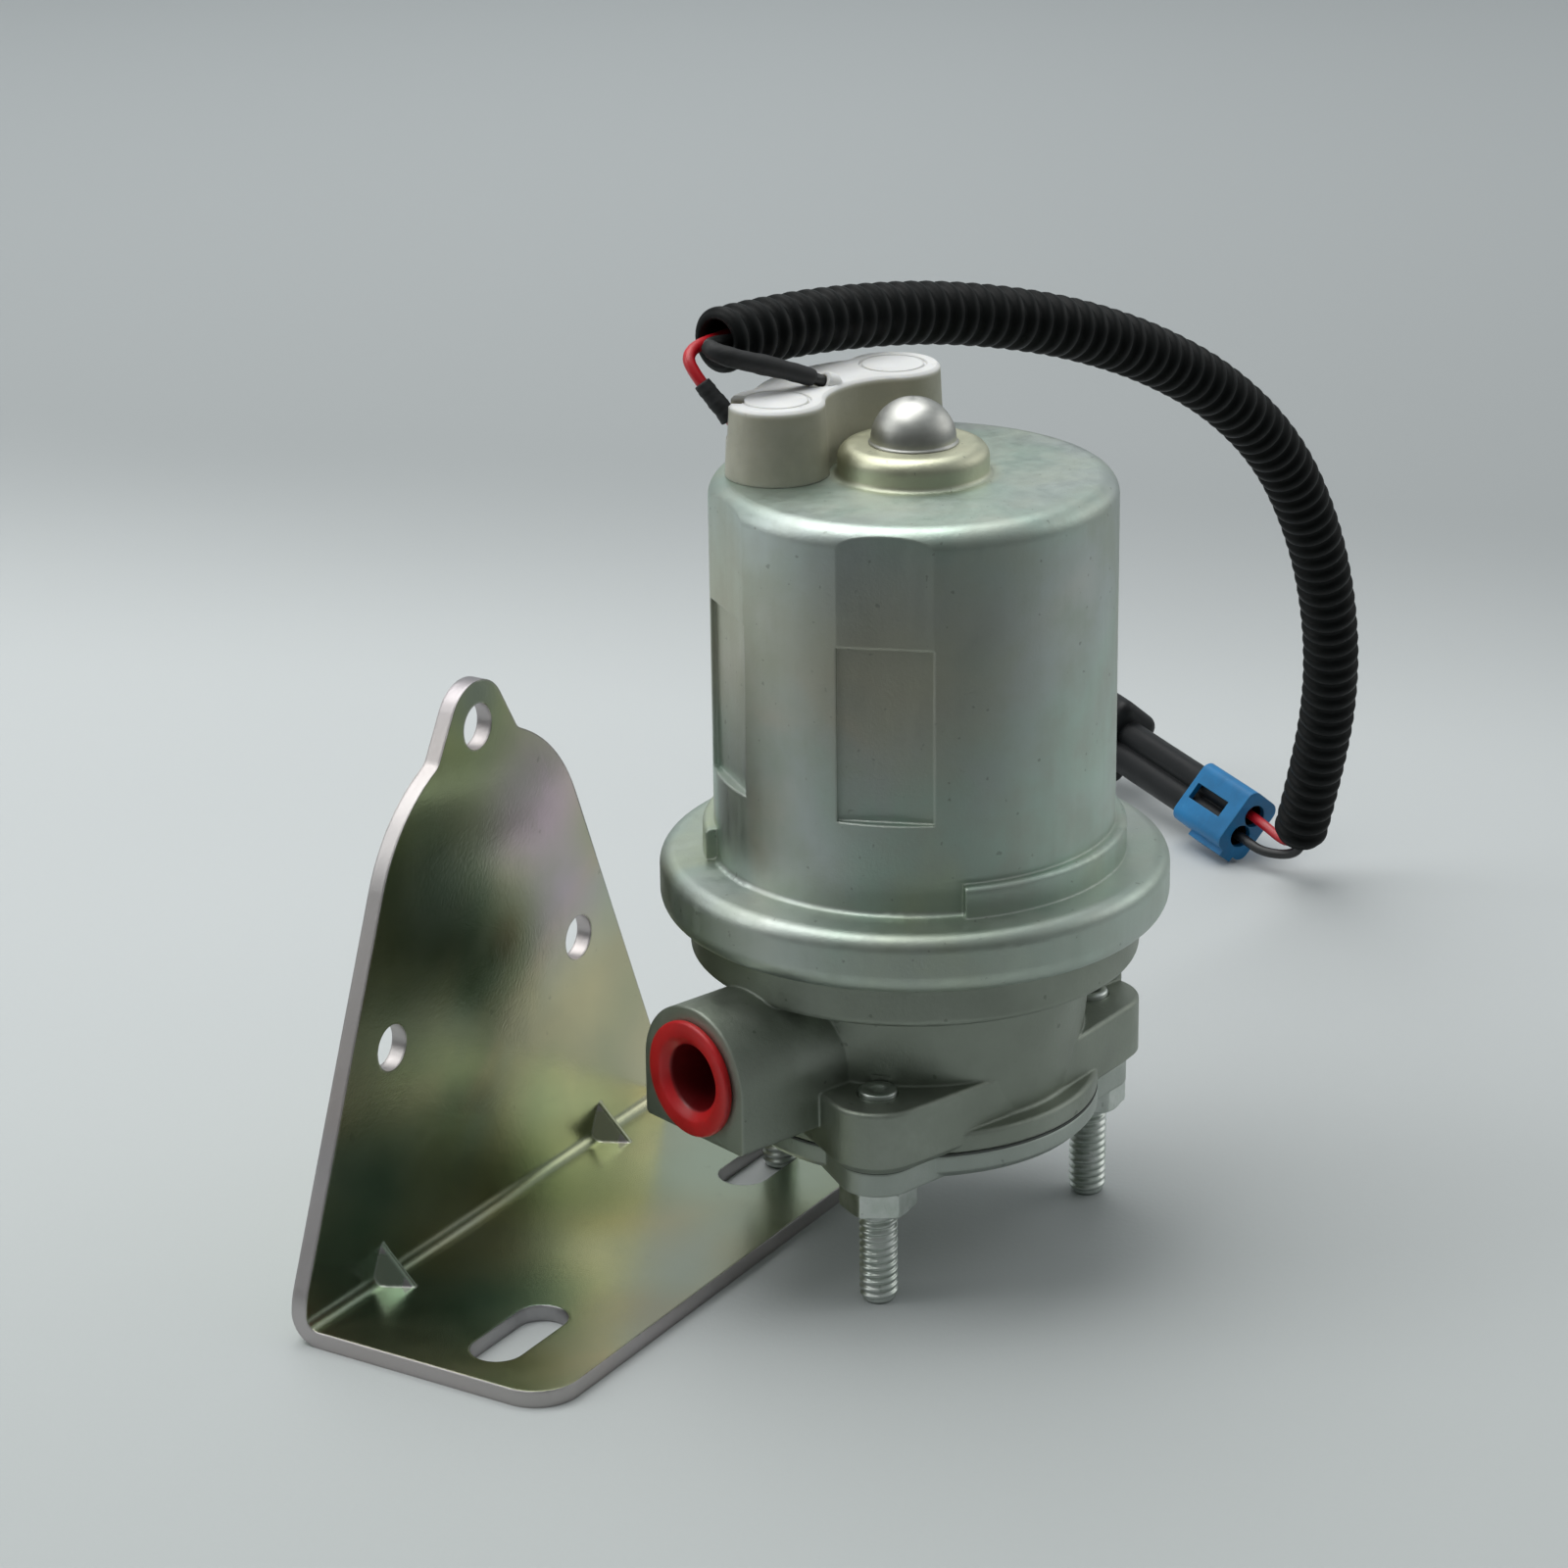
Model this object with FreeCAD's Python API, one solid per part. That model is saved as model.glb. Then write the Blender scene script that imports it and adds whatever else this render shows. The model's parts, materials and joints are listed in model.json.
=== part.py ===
import FreeCAD, Part
import math
import os
from FreeCAD import Vector

# Electric fuel pump, in millimetres. The origin is the centre of the stud circle
# in the plane of the stud tips, +Z runs up the motor axis, and the inlet points along -X.

# Studs and their circle
STUD_CIRCLE_RADIUS = 31.25
STUD_AZIMUTHS = (96.0, -24.0, -144.0)
STUD_RADIUS = 3.175
STUD_CHAMFER = 0.6
FREE_THREAD = 16.5
COLLAR_FLATS = 11.1
COLLAR_HEIGHT = 4.6
COLLAR_TURN = 19.0
STUD_PROUD = 0.9
BOLT_CLEARANCE = 0.15
FACE_GAP = 0.05

# Cover, gasket and body heights
COVER_THICKNESS = 4.0
COVER_LOBE_RADIUS = 6.4
COVER_EDGE_CHAMFER = 1.3
COVER_WAIST_RADIUS = 24.0
GASKET_THICKNESS = 0.4
DISC_RADIUS = 30.7
DISC_THICKNESS = 3.6
LOBE_RADIUS = 8.4
LOBE_HEIGHT = 11.1
LOBE_CHAMFER = 1.5
LOBE_EDGE_ROUND = 0.7
NECK_LOW_RADIUS = 27.4
NECK_TOP_RADIUS = 29.8
NECK_HEIGHT = 25.2
STEP_RADIUS = 37.2
STEP_HEIGHT = 9.1
BODY_FLANGE_RADIUS = 40.2
BODY_FLANGE_THICKNESS = 6.6
BODY_FLANGE_ROUND = 2.0
BOWL_RADIUS = 27.0
BOWL_DEPTH = 12.5

# Ports
PORT_HEIGHT = 14.9
PORT_RADIUS = 12.0
PORT_FLAT_DROP = 10.0
PORT_EDGE_ROUND = 0.8
INLET_PROUD = 8.3
OUTLET_SETBACK = 3.2
PORT_BORE_RADIUS = 7.35
PORT_BORE_END = 14.5
PORT_DROP_RADIUS = 2.6

# Shipping plugs
PLUG_GAP = 0.3
PLUG_SHANK = 12.0
PLUG_RIM_RADIUS = 9.7
PLUG_RIM_THICKNESS = 1.2
PLUG_HOLLOW_RADIUS = 4.8
PLUG_FLOOR = 1.5

# Gear set: six inner lobes run in seven outer pins
INNER_LOBES = 6
PIN_CIRCLE_RADIUS = 14.0
PIN_RADIUS = 3.2
ECCENTRICITY = 1.4
GEAR_GAP = 0.06
GEAR_THICKNESS = 8.3
OUTER_ROTOR_RADIUS = 19.0
POCKET_GAP = 0.08
POCKET_DEPTH = 8.1
KIDNEY_INNER = 8.6
KIDNEY_OUTER = 13.0
KIDNEY_DEPTH = 2.4
KIDNEY_SPREAD = 130.0

# Shaft and its bearings
SHAFT_RADIUS = 4.0
SHAFT_FLATS = 6.4
FLATS_GAP = 0.03
SHAFT_BODY_RADIUS = 5.0
RUNNING_GAP = 0.04
LOWER_BUSHING_RADIUS = 6.5
LOWER_BUSHING_LENGTH = 10.0
SEAL_RADIUS = 9.0
SEAL_HEIGHT = 6.0
SEAT_GAP = 0.02

# Relief valve
RELIEF_RADIUS = 17.5
RELIEF_AZIMUTH = 52.0
RELIEF_BORE_RADIUS = 3.3
RELIEF_SEAT_RADIUS = 1.6
RELIEF_SEAT_HEIGHT = 4.4
RELIEF_BALL_RADIUS = 2.8
RELIEF_SCREW_LENGTH = 4.5
RELIEF_SCREW_SLOT = 1.0
RELIEF_WIRE = 0.6
RELIEF_TURNS = 5

# Motor can
CAN_RADIUS = 33.0
CAN_WALL = 1.6
CAN_HEIGHT = 63.5
CAN_TOP_ROUND = 3.4
CAN_FOOT_ROUND = 0.9
RIM_HEIGHT = 10.2
RIM_TOP_ROUND = 2.6
RIM_LOW_ROUND = 3.6
RIM_GAP = 0.3
LIP_GAP = 0.5
BEAD_RADIUS = 34.9
BEAD_HEIGHT = 5.2
BEAD_CHAMFER = 0.9
BEAD_START = -119.5
BEAD_END = 150.0
BOSS_RADIUS = 12.2
BOSS_HEIGHT = 5.0
BOSS_ROUND = 2.3
BOSS_HOLE_RADIUS = 6.4
PAD_AZIMUTHS = (-141.0, -21.0, 39.0, 159.0)
PAD_WIDTH = 15.4
PAD_FLAT_DISTANCE = 32.1
PAD_POCKET_DISTANCE = 31.3
PAD_INNER_DISTANCE = 29.7
PAD_BOTTOM = 15.3
PAD_HEIGHT = 28.8
PAD_LEDGE = 1.7
CAN_SEAL_INSET = 4.2
CAN_SEAL_SECTION = 0.9
CAN_SEAL_GROOVE_WIDTH = 2.4

# Upper bearing and its cap
BALL_BUSHING_RADIUS = 6.9
BALL_BUSHING_DROP = 2.7
BALL_BUSHING_HALF = 3.0
RETAINER_THICKNESS = 0.8
CAP_BASE_RADIUS = 7.3
CAP_DOME_RADIUS = 6.9
CAP_HEIGHT = 7.3
CAP_WALL = 0.7
THRUST_WASHER_RADIUS = 6.0
THRUST_WASHER_THICKNESS = 0.7

# Magnets, armature and commutator
MAGNET_INNER_RADIUS = 24.3
MAGNET_GAP = 0.2
MAGNET_SPREAD = 80.0
MAGNET_AZIMUTHS = (99.0, -81.0)
MAGNET_START = 1.0
MAGNET_LENGTH = 38.0
CLIP_THICKNESS = 0.8
CLIP_SPREAD = 22.0
CLIP_AZIMUTHS = (9.0, -171.0)
CORE_RADIUS = 23.5
CORE_START = 3.0
CORE_LENGTH = 32.0
CORE_SLOTS = 12
SLOT_WIDTH = 4.4
SLOT_INNER = 12.5
SLOT_OUTER = 21.5
SLOT_MOUTH = 1.6
WINDING_GAP = 0.1
WINDING_OVERHANG = 6.0
WINDING_INNER = 8.0
COMMUTATOR_RADIUS = 14.0
COMMUTATOR_THICKNESS = 3.6
COMMUTATOR_CUT = 0.6
COMMUTATOR_CUT_DEPTH = 1.2

# Brush gear
BRUSH_AZIMUTHS = (9.0, 189.0)
BRUSH_CIRCLE = 10.2
BRUSH_WIDTH = 5.0
BRUSH_LENGTH = 6.4
BRUSH_HEIGHT = 9.0
BRUSH_GAP = 0.08
BRUSH_TRAVEL = 3.0
TUBE_WALL = 0.5
TUBE_HEIGHT = 15.4
BRUSH_WIRE = 0.5
BRUSH_TURNS = 6
BRUSH_SPRING_RADIUS = 1.7
PLATE_THICKNESS = 3.0
PLATE_RADIUS = 30.3
PLATE_HOLE_RADIUS = 6.6

# Terminals
TERMINAL_CIRCLE = 21.8
TERMINAL_AZIMUTHS = (139.0, 56.0)
POST_RADIUS = 1.75
POST_HEAD_RADIUS = 4.0
POST_HEAD_HEIGHT = 1.4
POST_PROUD = 7.8
INSULATOR_FLANGE_RADIUS = 5.8
INSULATOR_FLANGE = 1.1
INSULATOR_NECK_RADIUS = 4.5
RING_RADIUS = 3.4
RING_THICKNESS = 0.8
TONGUE_REACH = 6.2
NUT_FLATS = 6.0
NUT_HEIGHT = 2.8

# Terminal cover
COVER_HEIGHT = 12.2
COVER_DRAFT = 0.6
LOBE_CAP_RADIUS = 7.8
COVER_WALL = 1.5
WEB_INNER = 14.1
WEB_OUTER = 26.6
COVER_CHAMFER = 0.5
RECESS_RADIUS = 5.6
RECESS_WIDTH = 0.5
RECESS_DEPTH = 0.35
NOTCH_WIDTH = 4.6
NOTCH_DEPTH = 6.2
HOOD_RADIUS = 1.7
HOOD_LENGTH = 1.6

# Conduit and wires: hand-chosen route points
CONDUIT_RADIUS = 5.4
CONDUIT_WAIST = 4.5
CONDUIT_BORE = 3.6
CONDUIT_RIBS = 75
CONDUIT_ROUTE = (
    (-17.9, 27.0, 151.3),
    (-4.2, 28.8, 150.8),
    (13.5, 30.4, 149.2),
    (31.7, 30.9, 146.7),
    (49.2, 30.0, 142.9),
    (67.6, 29.9, 137.3),
    (87.2, 30.7, 129.1),
    (105.9, 31.4, 118.3),
    (123.1, 33.3, 103.8),
    (136.1, 36.4, 86.8),
    (145.9, 40.1, 68.6),
    (153.1, 44.8, 49.8),
    (158.4, 51.7, 30.4),
    (162.2, 60.2, 9.9),
)
WIRE_RADIUS = 1.0
WIRE_GAP = 0.3
WIRE_END_SIDE = 1.3
RED_START = (
    (-20.2, 17.8, 133.75),
    (-20.2, 17.8, 138.2),
    (-25.0, 23.6, 147.0),
    (-24.6, 27.2, 150.9),
    (-13.0, 29.9, 151.1),
)
RED_END = (
    (162.8, 63.6, 6.4),
    (163.4, 73.0, 9.56),
)
BLACK_START = (
    (6.8, 18.6, 133.75),
    (6.8, 18.6, 137.0),
    (0.8, 17.6, 141.2),
    (-4.6, 16.2, 144.3),
    (-12.6, 17.6, 147.6),
    (-22.6, 21.2, 150.9),
    (-22.0, 25.4, 152.1),
    (-13.0, 25.4, 151.1),
)
BLACK_END = (
    (162.7, 61.3, 4.9),
    (160.6, 68.6, 4.0),
    (160.3, 73.5, 5.74),
)
SLEEVE_RADIUS = 1.5
SLEEVE_BORE = 1.1
RED_SLEEVE_SPAN = (7.5, 14.6)
BLACK_SLEEVE_SPAN = (19.0, 38.0)

# Connector, along its own axis from the wire end
CONNECTOR_PLACE = (162.05, 74.25, 7.75)
CONNECTOR_AZIMUTH = 79.7
CONNECTOR_TILT = 5.8
CONNECTOR_ROLL = -50.0
BARREL_RADIUS = 3.1
BARREL_SIDE = 2.5
HOUSING_START = 1.5
HOUSING_LENGTH = 58.0
NOSE_START = 44.0
NOSE_WIDTH = 16.8
NOSE_THICKNESS = 12.4
NOSE_ROUND = 2.8
LOCK_LENGTH = 16.0
LOCK_WIDTH = 13.8
LOCK_THICKNESS = 9.0
LOCK_ROUND = 2.2
LOCK_WALL = 1.3
LOCK_GAP = 0.15
LOCK_ENTRY_RADIUS = 2.4
WINDOW_LENGTH = 10.4
WINDOW_WIDTH = 3.6
LIP_LENGTH = 11.0
LIP_WIDTH = 3.4
LIP_PROUD = 1.2
SEAL_START = 4.0
SEAL_LENGTH = 5.0
TERMINAL_RADIUS = 1.0
TERMINAL_LENGTH = 14.0

# Bracket
BRACKET_AZIMUTH = 17.3
BRACKET_SHEET = 2.9
BRACKET_BEND = 2.2
BRACKET_HALF = 53.2
BRACKET_DEPTH = 50.2
BRACKET_CORNER = 7.5
BRACKET_HEIGHT = 97.0
EAR_HALF = 4.4
EAR_ROUND = 7.5
NECK_HALF = 11.2
NECK_ROUND = 2.5
BRACKET_NECK_HEIGHT = 85.7
SHOULDER_HALF = 23.3
SHOULDER_HEIGHT = 79.4
SHOULDER_ROUND = 30.0
SIDE_FOOT_HEIGHT = 7.0
SIDE_FOOT_ROUND = 12.0
PLATE_HOLE = 3.9
PLATE_CIRCLE_HEIGHT = 57.9
SLOT_INSET = 16.1
SLOT_LINE = 33.3
SLOT_END_TO_END = 21.0
SLOT_HALF_WIDTH = 4.5
STUD_ALONG_SLOT = 5.9
DART_HALF_SPACING = 32.1
DART_REACH = 7.8
DART_HALF_WIDTH = 4.3
DART_ROUND = 0.8

# Sizes and heights that follow from the sizes above
RIM_RADIUS = BODY_FLANGE_RADIUS + RIM_GAP + CAN_WALL
CAN_SEAL_RADIUS = BODY_FLANGE_RADIUS - CAN_SEAL_INSET
INLET_REACH = BODY_FLANGE_RADIUS + INLET_PROUD
OUTLET_REACH = BODY_FLANGE_RADIUS - OUTLET_SETBACK
SLOT_HALF_SPACING = BRACKET_HALF - SLOT_INSET
WIRE_SIDE = CONDUIT_BORE - WIRE_RADIUS - WIRE_GAP
COLLAR_TOP = FREE_THREAD + COLLAR_HEIGHT
COVER_LOW = COLLAR_TOP + FACE_GAP
COVER_TOP = COVER_LOW + COVER_THICKNESS
GASKET_LOW = COVER_TOP
BODY_LOW = GASKET_LOW + GASKET_THICKNESS
LOBE_TOP = BODY_LOW + LOBE_HEIGHT
STUD_TOP = LOBE_TOP + STUD_PROUD
STEP_LOW = BODY_LOW + NECK_HEIGHT
BODY_FLANGE_LOW = STEP_LOW + STEP_HEIGHT
BODY_TOP = BODY_FLANGE_LOW + BODY_FLANGE_THICKNESS
BOWL_FLOOR = BODY_TOP - BOWL_DEPTH
PORT_AXIS = BODY_LOW + PORT_HEIGHT
POCKET_ROOF = BODY_LOW + POCKET_DEPTH
GEAR_LOW = COVER_TOP + FACE_GAP
GEAR_TOP = GEAR_LOW + GEAR_THICKNESS
CAN_FOOT = BODY_TOP + FACE_GAP + CAN_WALL
CAN_TOP = CAN_FOOT + CAN_HEIGHT
CAN_CEILING = CAN_TOP - CAN_WALL
BOSS_TOP = CAN_TOP + BOSS_HEIGHT
RIM_LOW = CAN_FOOT - RIM_HEIGHT
PAD_LOW = CAN_FOOT + PAD_BOTTOM
PAD_TOP = PAD_LOW + PAD_HEIGHT
PLATE_LOW = PAD_TOP + PAD_LEDGE + FACE_GAP
PLATE_TOP = PLATE_LOW + PLATE_THICKNESS
LOWER_BUSHING_LOW = POCKET_ROOF + KIDNEY_DEPTH
SEAL_LOW = LOWER_BUSHING_LOW + LOWER_BUSHING_LENGTH + SEAT_GAP
BALL_BUSHING_Z = BOSS_TOP - CAN_WALL - BALL_BUSHING_DROP
SHAFT_SHOULDER = BALL_BUSHING_Z - BALL_BUSHING_HALF - THRUST_WASHER_THICKNESS - 2 * FACE_GAP
SHAFT_TOP = BALL_BUSHING_Z + 2 * BALL_BUSHING_HALF
CORE_LOW = CAN_FOOT + CORE_START
CORE_TOP = CORE_LOW + CORE_LENGTH
COMMUTATOR_LOW = CORE_TOP + WINDING_OVERHANG + WINDING_GAP
COMMUTATOR_TOP = COMMUTATOR_LOW + COMMUTATOR_THICKNESS
BRUSH_LOW = COMMUTATOR_TOP + FACE_GAP
BRUSH_TOP = BRUSH_LOW + BRUSH_HEIGHT
TUBE_TOP = PLATE_LOW + TUBE_HEIGHT
BRUSH_SPRING_TOP = TUBE_TOP - TUBE_WALL - FACE_GAP
RELIEF_SEAT = POCKET_ROOF + RELIEF_SEAT_HEIGHT
RELIEF_BALL_Z = RELIEF_SEAT + math.sqrt(RELIEF_BALL_RADIUS**2 - RELIEF_SEAT_RADIUS**2) + SEAT_GAP
RELIEF_SCREW_LOW = BOWL_FLOOR - RELIEF_SCREW_LENGTH
CAP_LOW = CAN_TOP + FACE_GAP
CAP_TOP = CAN_TOP + COVER_HEIGHT
RING_LOW = CAN_TOP + INSULATOR_FLANGE + 3 * FACE_GAP
NUT_LOW = RING_LOW + RING_THICKNESS + FACE_GAP
BUSHING_BORE = SHAFT_RADIUS + RUNNING_GAP


def polar(radius, azimuth, z=0.0):
    angle = math.radians(azimuth)
    return Vector(radius * math.cos(angle), radius * math.sin(angle), z)


def cylinder(radius, low, high, centre=(0.0, 0.0)):
    return Part.makeCylinder(radius, high - low, Vector(centre[0], centre[1], low))


def tube(outer, inner, low, high, centre=(0.0, 0.0)):
    return cylinder(outer, low, high, centre).cut(cylinder(inner, low - 1, high + 1, centre))


def block(x_low, x_high, y_low, y_high, z_low, z_high):
    corner = Vector(x_low, y_low, z_low)
    return Part.makeBox(x_high - x_low, y_high - y_low, z_high - z_low, corner)


def hexagon(flats, low, high, centre, turn=0.0):
    reach = flats / math.sqrt(3)
    corners = [Vector(centre[0], centre[1], low) + polar(reach, turn + 60 * k) for k in range(7)]
    return Part.Face(Part.makePolygon(corners)).extrude(Vector(0, 0, high - low))


def sector(outer, inner, low, high, middle, spread):
    """A slice of a tube, centred on the azimuth middle."""
    profile = [(inner, low), (outer, low), (outer, high), (inner, high)]
    corners = [Vector(r, 0, z) for r, z in profile + profile[:1]]
    face = Part.Face(Part.makePolygon(corners))
    face.rotate(Vector(), Vector(0, 0, 1), middle - spread / 2)
    return face.revolve(Vector(), Vector(0, 0, 1), spread)


def rounded_face(corners, place):
    """A face from (a, b, radius) corners; place turns (a, b) into a point in space."""
    starts, middles, ends = [], [], []
    count = len(corners)
    for k, (a, b, radius) in enumerate(corners):
        here = Vector(a, b, 0)
        back = Vector(*corners[k - 1][:2], 0) - here
        onward = Vector(*corners[(k + 1) % count][:2], 0) - here
        back.normalize()
        onward.normalize()
        half = back.getAngle(onward) / 2
        reach = radius / math.tan(half)
        inward = (back + onward).normalize() if radius > 0 else Vector()
        starts.append(here + back * reach)
        ends.append(here + onward * reach)
        middles.append(here + inward * (radius / math.sin(half) - radius))
    edges = []
    for k in range(count):
        start, middle, end = (place(p[k].x, p[k].y) for p in (starts, middles, ends))
        if corners[k][2] > 0:
            edges.append(Part.Arc(start, middle, end).toShape())
        onward = starts[(k + 1) % count]
        edges.append(Part.LineSegment(end, place(onward.x, onward.y)).toShape())
    return Part.Face(Part.Wire(edges))


def turned(corners):
    """A solid of revolution from (radius, height, rounding) corners."""
    face = rounded_face(corners, lambda r, z: Vector(r, 0, z))
    return face.revolve(Vector(), Vector(0, 0, 1), 360)


def prism(corners, low, high):
    face = rounded_face(corners, lambda x, y: Vector(x, y, low))
    return face.extrude(Vector(0, 0, high - low))


def turn_z(shape, azimuth):
    shape.rotate(Vector(), Vector(0, 0, 1), azimuth)
    return shape


def fuse_all(shapes):
    return shapes[0].multiFuse(shapes[1:]).removeSplitter()


def hull_wire(small, large, reach, z, azimuth):
    """Outline round a small circle at the given reach and a large one on the axis."""
    lean = math.acos((large - small) / reach)
    far = Vector(reach, 0, z)
    hub = Vector(0, 0, z)

    def on(centre, radius, angle):
        return centre + Vector(radius * math.cos(angle), radius * math.sin(angle), 0)

    tip = Part.Arc(on(far, small, -lean), on(far, small, 0), on(far, small, lean))
    root = Part.Arc(on(hub, large, lean), on(hub, large, math.pi), on(hub, large, -lean))
    near = Part.LineSegment(on(far, small, lean), on(hub, large, lean))
    back = Part.LineSegment(on(hub, large, -lean), on(far, small, -lean))
    wire = Part.Wire([c.toShape() for c in (tip, near, root, back)])
    return turn_z(wire, azimuth)


class Route:
    """Straight runs joined by tangent arcs through hand-chosen points."""

    SHARE = 0.45

    def __init__(self, points):
        self.points = [Vector(*p) for p in points]
        self.edges = []
        self.radii = []
        start = self.points[0]
        for before, corner, after in zip(self.points, self.points[1:], self.points[2:]):
            back = before - corner
            onward = after - corner
            reach = self.SHARE * min(back.Length, onward.Length)
            back.normalize()
            onward.normalize()
            half = back.getAngle(onward) / 2
            radius = reach * math.tan(half)
            middle = corner + (back + onward).normalize() * (radius / math.sin(half) - radius)
            entry = corner + back * reach
            leave = corner + onward * reach
            self.edges.append(Part.LineSegment(start, entry).toShape())
            self.edges.append(Part.Arc(entry, middle, leave).toShape())
            self.radii.append(radius)
            start = leave
        self.edges.append(Part.LineSegment(start, self.points[-1]).toShape())
        self.length = sum(edge.Length for edge in self.edges)

    def at(self, distance):
        """The point and direction at a distance along the route."""
        for edge in self.edges:
            if distance <= edge.Length + 1e-9 or edge is self.edges[-1]:
                parameter = edge.getParameterByLength(min(distance, edge.Length))
                return edge.valueAt(parameter), edge.tangentAt(parameter)
            distance -= edge.Length

    def circle(self, distance, radius):
        """A circle square to the route, its X axis level and steady."""
        point, along = self.at(distance)
        side = Vector(0, 1, 0) - along * along.y
        side.normalize()
        up = along.cross(side)
        matrix = FreeCAD.Matrix(
            side.x, up.x, along.x, point.x,
            side.y, up.y, along.y, point.y,
            side.z, up.z, along.z, point.z,
            0, 0, 0, 1)
        wire = Part.Wire(Part.makeCircle(radius))
        wire.transformShape(matrix)
        return wire

    def pipe(self, radius):
        return Part.Wire(self.edges).makePipeShell([self.circle(0, radius)], True, False)

    def part_pipe(self, span, radius):
        """A pipe along part of the route, from one distance to another."""
        low, high = span
        pieces = []
        for edge in self.edges:
            start = max(low, 0.0)
            end = min(high, edge.Length)
            if end > start:
                first = edge.getParameterByLength(start)
                last = edge.getParameterByLength(end)
                pieces.append(edge.Curve.toShape(first, last))
            low -= edge.Length
            high -= edge.Length
        return Part.Wire(pieces).makePipeShell([self.circle(span[0], radius)], True, False)

    def report(self, name, radius):
        solid = self.pipe(radius)
        plain = math.pi * radius**2 * self.length
        radii = ", ".join(f"{r:.1f}" for r in self.radii)
        print(f"{name}: length {self.length:.1f}, volume ratio {solid.Volume / plain:.4f}, radii {radii}")


def coil(radius, wire, turns, low, high, centre):
    """A compression spring as one tube on quarter-turn arcs."""
    start = low + wire / 2
    climb = (high - low - wire) / turns
    print(f"spring: gap between curls {climb - wire:.2f}")

    def on(turn):
        return Vector(centre[0], centre[1], start + climb * turn) + polar(radius, 360 * turn)

    edges = [Part.Arc(on(q / 4), on(q / 4 + 0.125), on(q / 4 + 0.25)).toShape() for q in range(4 * turns)]
    along = edges[0].tangentAt(edges[0].FirstParameter)
    section = Part.Wire(Part.makeCircle(wire / 2, on(0), along))
    return Part.Wire(edges).makePipeShell([section], True, False)


def stud_places():
    return [polar(STUD_CIRCLE_RADIUS, azimuth) for azimuth in STUD_AZIMUTHS]


def stud_holes(low, high):
    radius = STUD_RADIUS + BOLT_CLEARANCE
    return [cylinder(radius, low - 1, high + 1, (p.x, p.y)) for p in stud_places()]


def mounting_studs():
    studs = []
    for place in stud_places():
        stud = turned([
            (0, 0, 0),
            (STUD_RADIUS, 0, 0),
            (STUD_RADIUS, STUD_TOP - STUD_CHAMFER, 0),
            (STUD_RADIUS - STUD_CHAMFER, STUD_TOP, 0),
            (0, STUD_TOP, 0),
        ])
        stud.translate(place)
        collar = hexagon(COLLAR_FLATS, FREE_THREAD, COLLAR_TOP, (place.x, place.y), COLLAR_TURN)
        studs.append(stud.fuse(collar))
    return Part.makeCompound(studs)


def cover_lobes(low, high):
    lobes = []
    for azimuth in STUD_AZIMUTHS:
        wire = hull_wire(COVER_LOBE_RADIUS, COVER_WAIST_RADIUS, STUD_CIRCLE_RADIUS, low, azimuth)
        lobes.append(Part.Face(wire).extrude(Vector(0, 0, high - low)))
    return lobes


def bottom_cover():
    """The cover plate; its round edge is chamfered below, between the lobes."""
    disc = turned([
        (0, COVER_LOW, 0),
        (DISC_RADIUS - COVER_EDGE_CHAMFER, COVER_LOW, 0),
        (DISC_RADIUS, COVER_LOW + COVER_EDGE_CHAMFER, 0),
        (DISC_RADIUS, COVER_TOP, 0),
        (0, COVER_TOP, 0),
    ])
    blank = fuse_all([disc] + cover_lobes(COVER_LOW, COVER_TOP))
    return blank.cut(stud_holes(COVER_LOW, COVER_TOP))


def body_gasket():
    blank = fuse_all([cylinder(DISC_RADIUS, GASKET_LOW, BODY_LOW)] + cover_lobes(GASKET_LOW, BODY_LOW))
    pocket = OUTER_ROTOR_RADIUS + 2 * POCKET_GAP
    opening = cylinder(pocket, GASKET_LOW - 1, BODY_LOW + 1, (0, -ECCENTRICITY))
    return blank.cut(stud_holes(GASKET_LOW, BODY_LOW) + [opening])


def body_lobe(azimuth):
    """One stud lobe, chamfered below and rounded along its top edge."""
    waist = BODY_LOW + LOBE_CHAMFER
    slim = LOBE_RADIUS - LOBE_CHAMFER
    low = hull_wire(slim, NECK_LOW_RADIUS - LOBE_CHAMFER, STUD_CIRCLE_RADIUS, BODY_LOW, azimuth)
    high = hull_wire(LOBE_RADIUS, NECK_LOW_RADIUS, STUD_CIRCLE_RADIUS, waist, azimuth)
    foot = Part.makeLoft([low, high], True, True)
    wall = Part.Face(high).extrude(Vector(0, 0, LOBE_TOP - waist))
    top_edges = [e for e in wall.Edges if abs(e.BoundBox.ZMin - LOBE_TOP) < 1e-6]
    return foot.fuse(wall.makeFillet(LOBE_EDGE_ROUND, top_edges))


def port_boss(direction, reach):
    """A port: round above, flat below, along +X or -X."""
    low = PORT_AXIS - PORT_FLAT_DROP
    corners = [
        (-PORT_RADIUS, low, PORT_EDGE_ROUND),
        (PORT_RADIUS, low, PORT_EDGE_ROUND),
        (PORT_RADIUS, PORT_AXIS + PORT_RADIUS, PORT_RADIUS - FACE_GAP),
        (-PORT_RADIUS, PORT_AXIS + PORT_RADIUS, PORT_RADIUS - FACE_GAP),
    ]
    face = rounded_face(corners, lambda y, z: Vector(0, y, z))
    return face.extrude(Vector(direction * reach, 0, 0))


def along_x(radius, x_low, x_high, z):
    return Part.makeCylinder(radius, x_high - x_low, Vector(x_low, 0, z), Vector(1, 0, 0))


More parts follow.
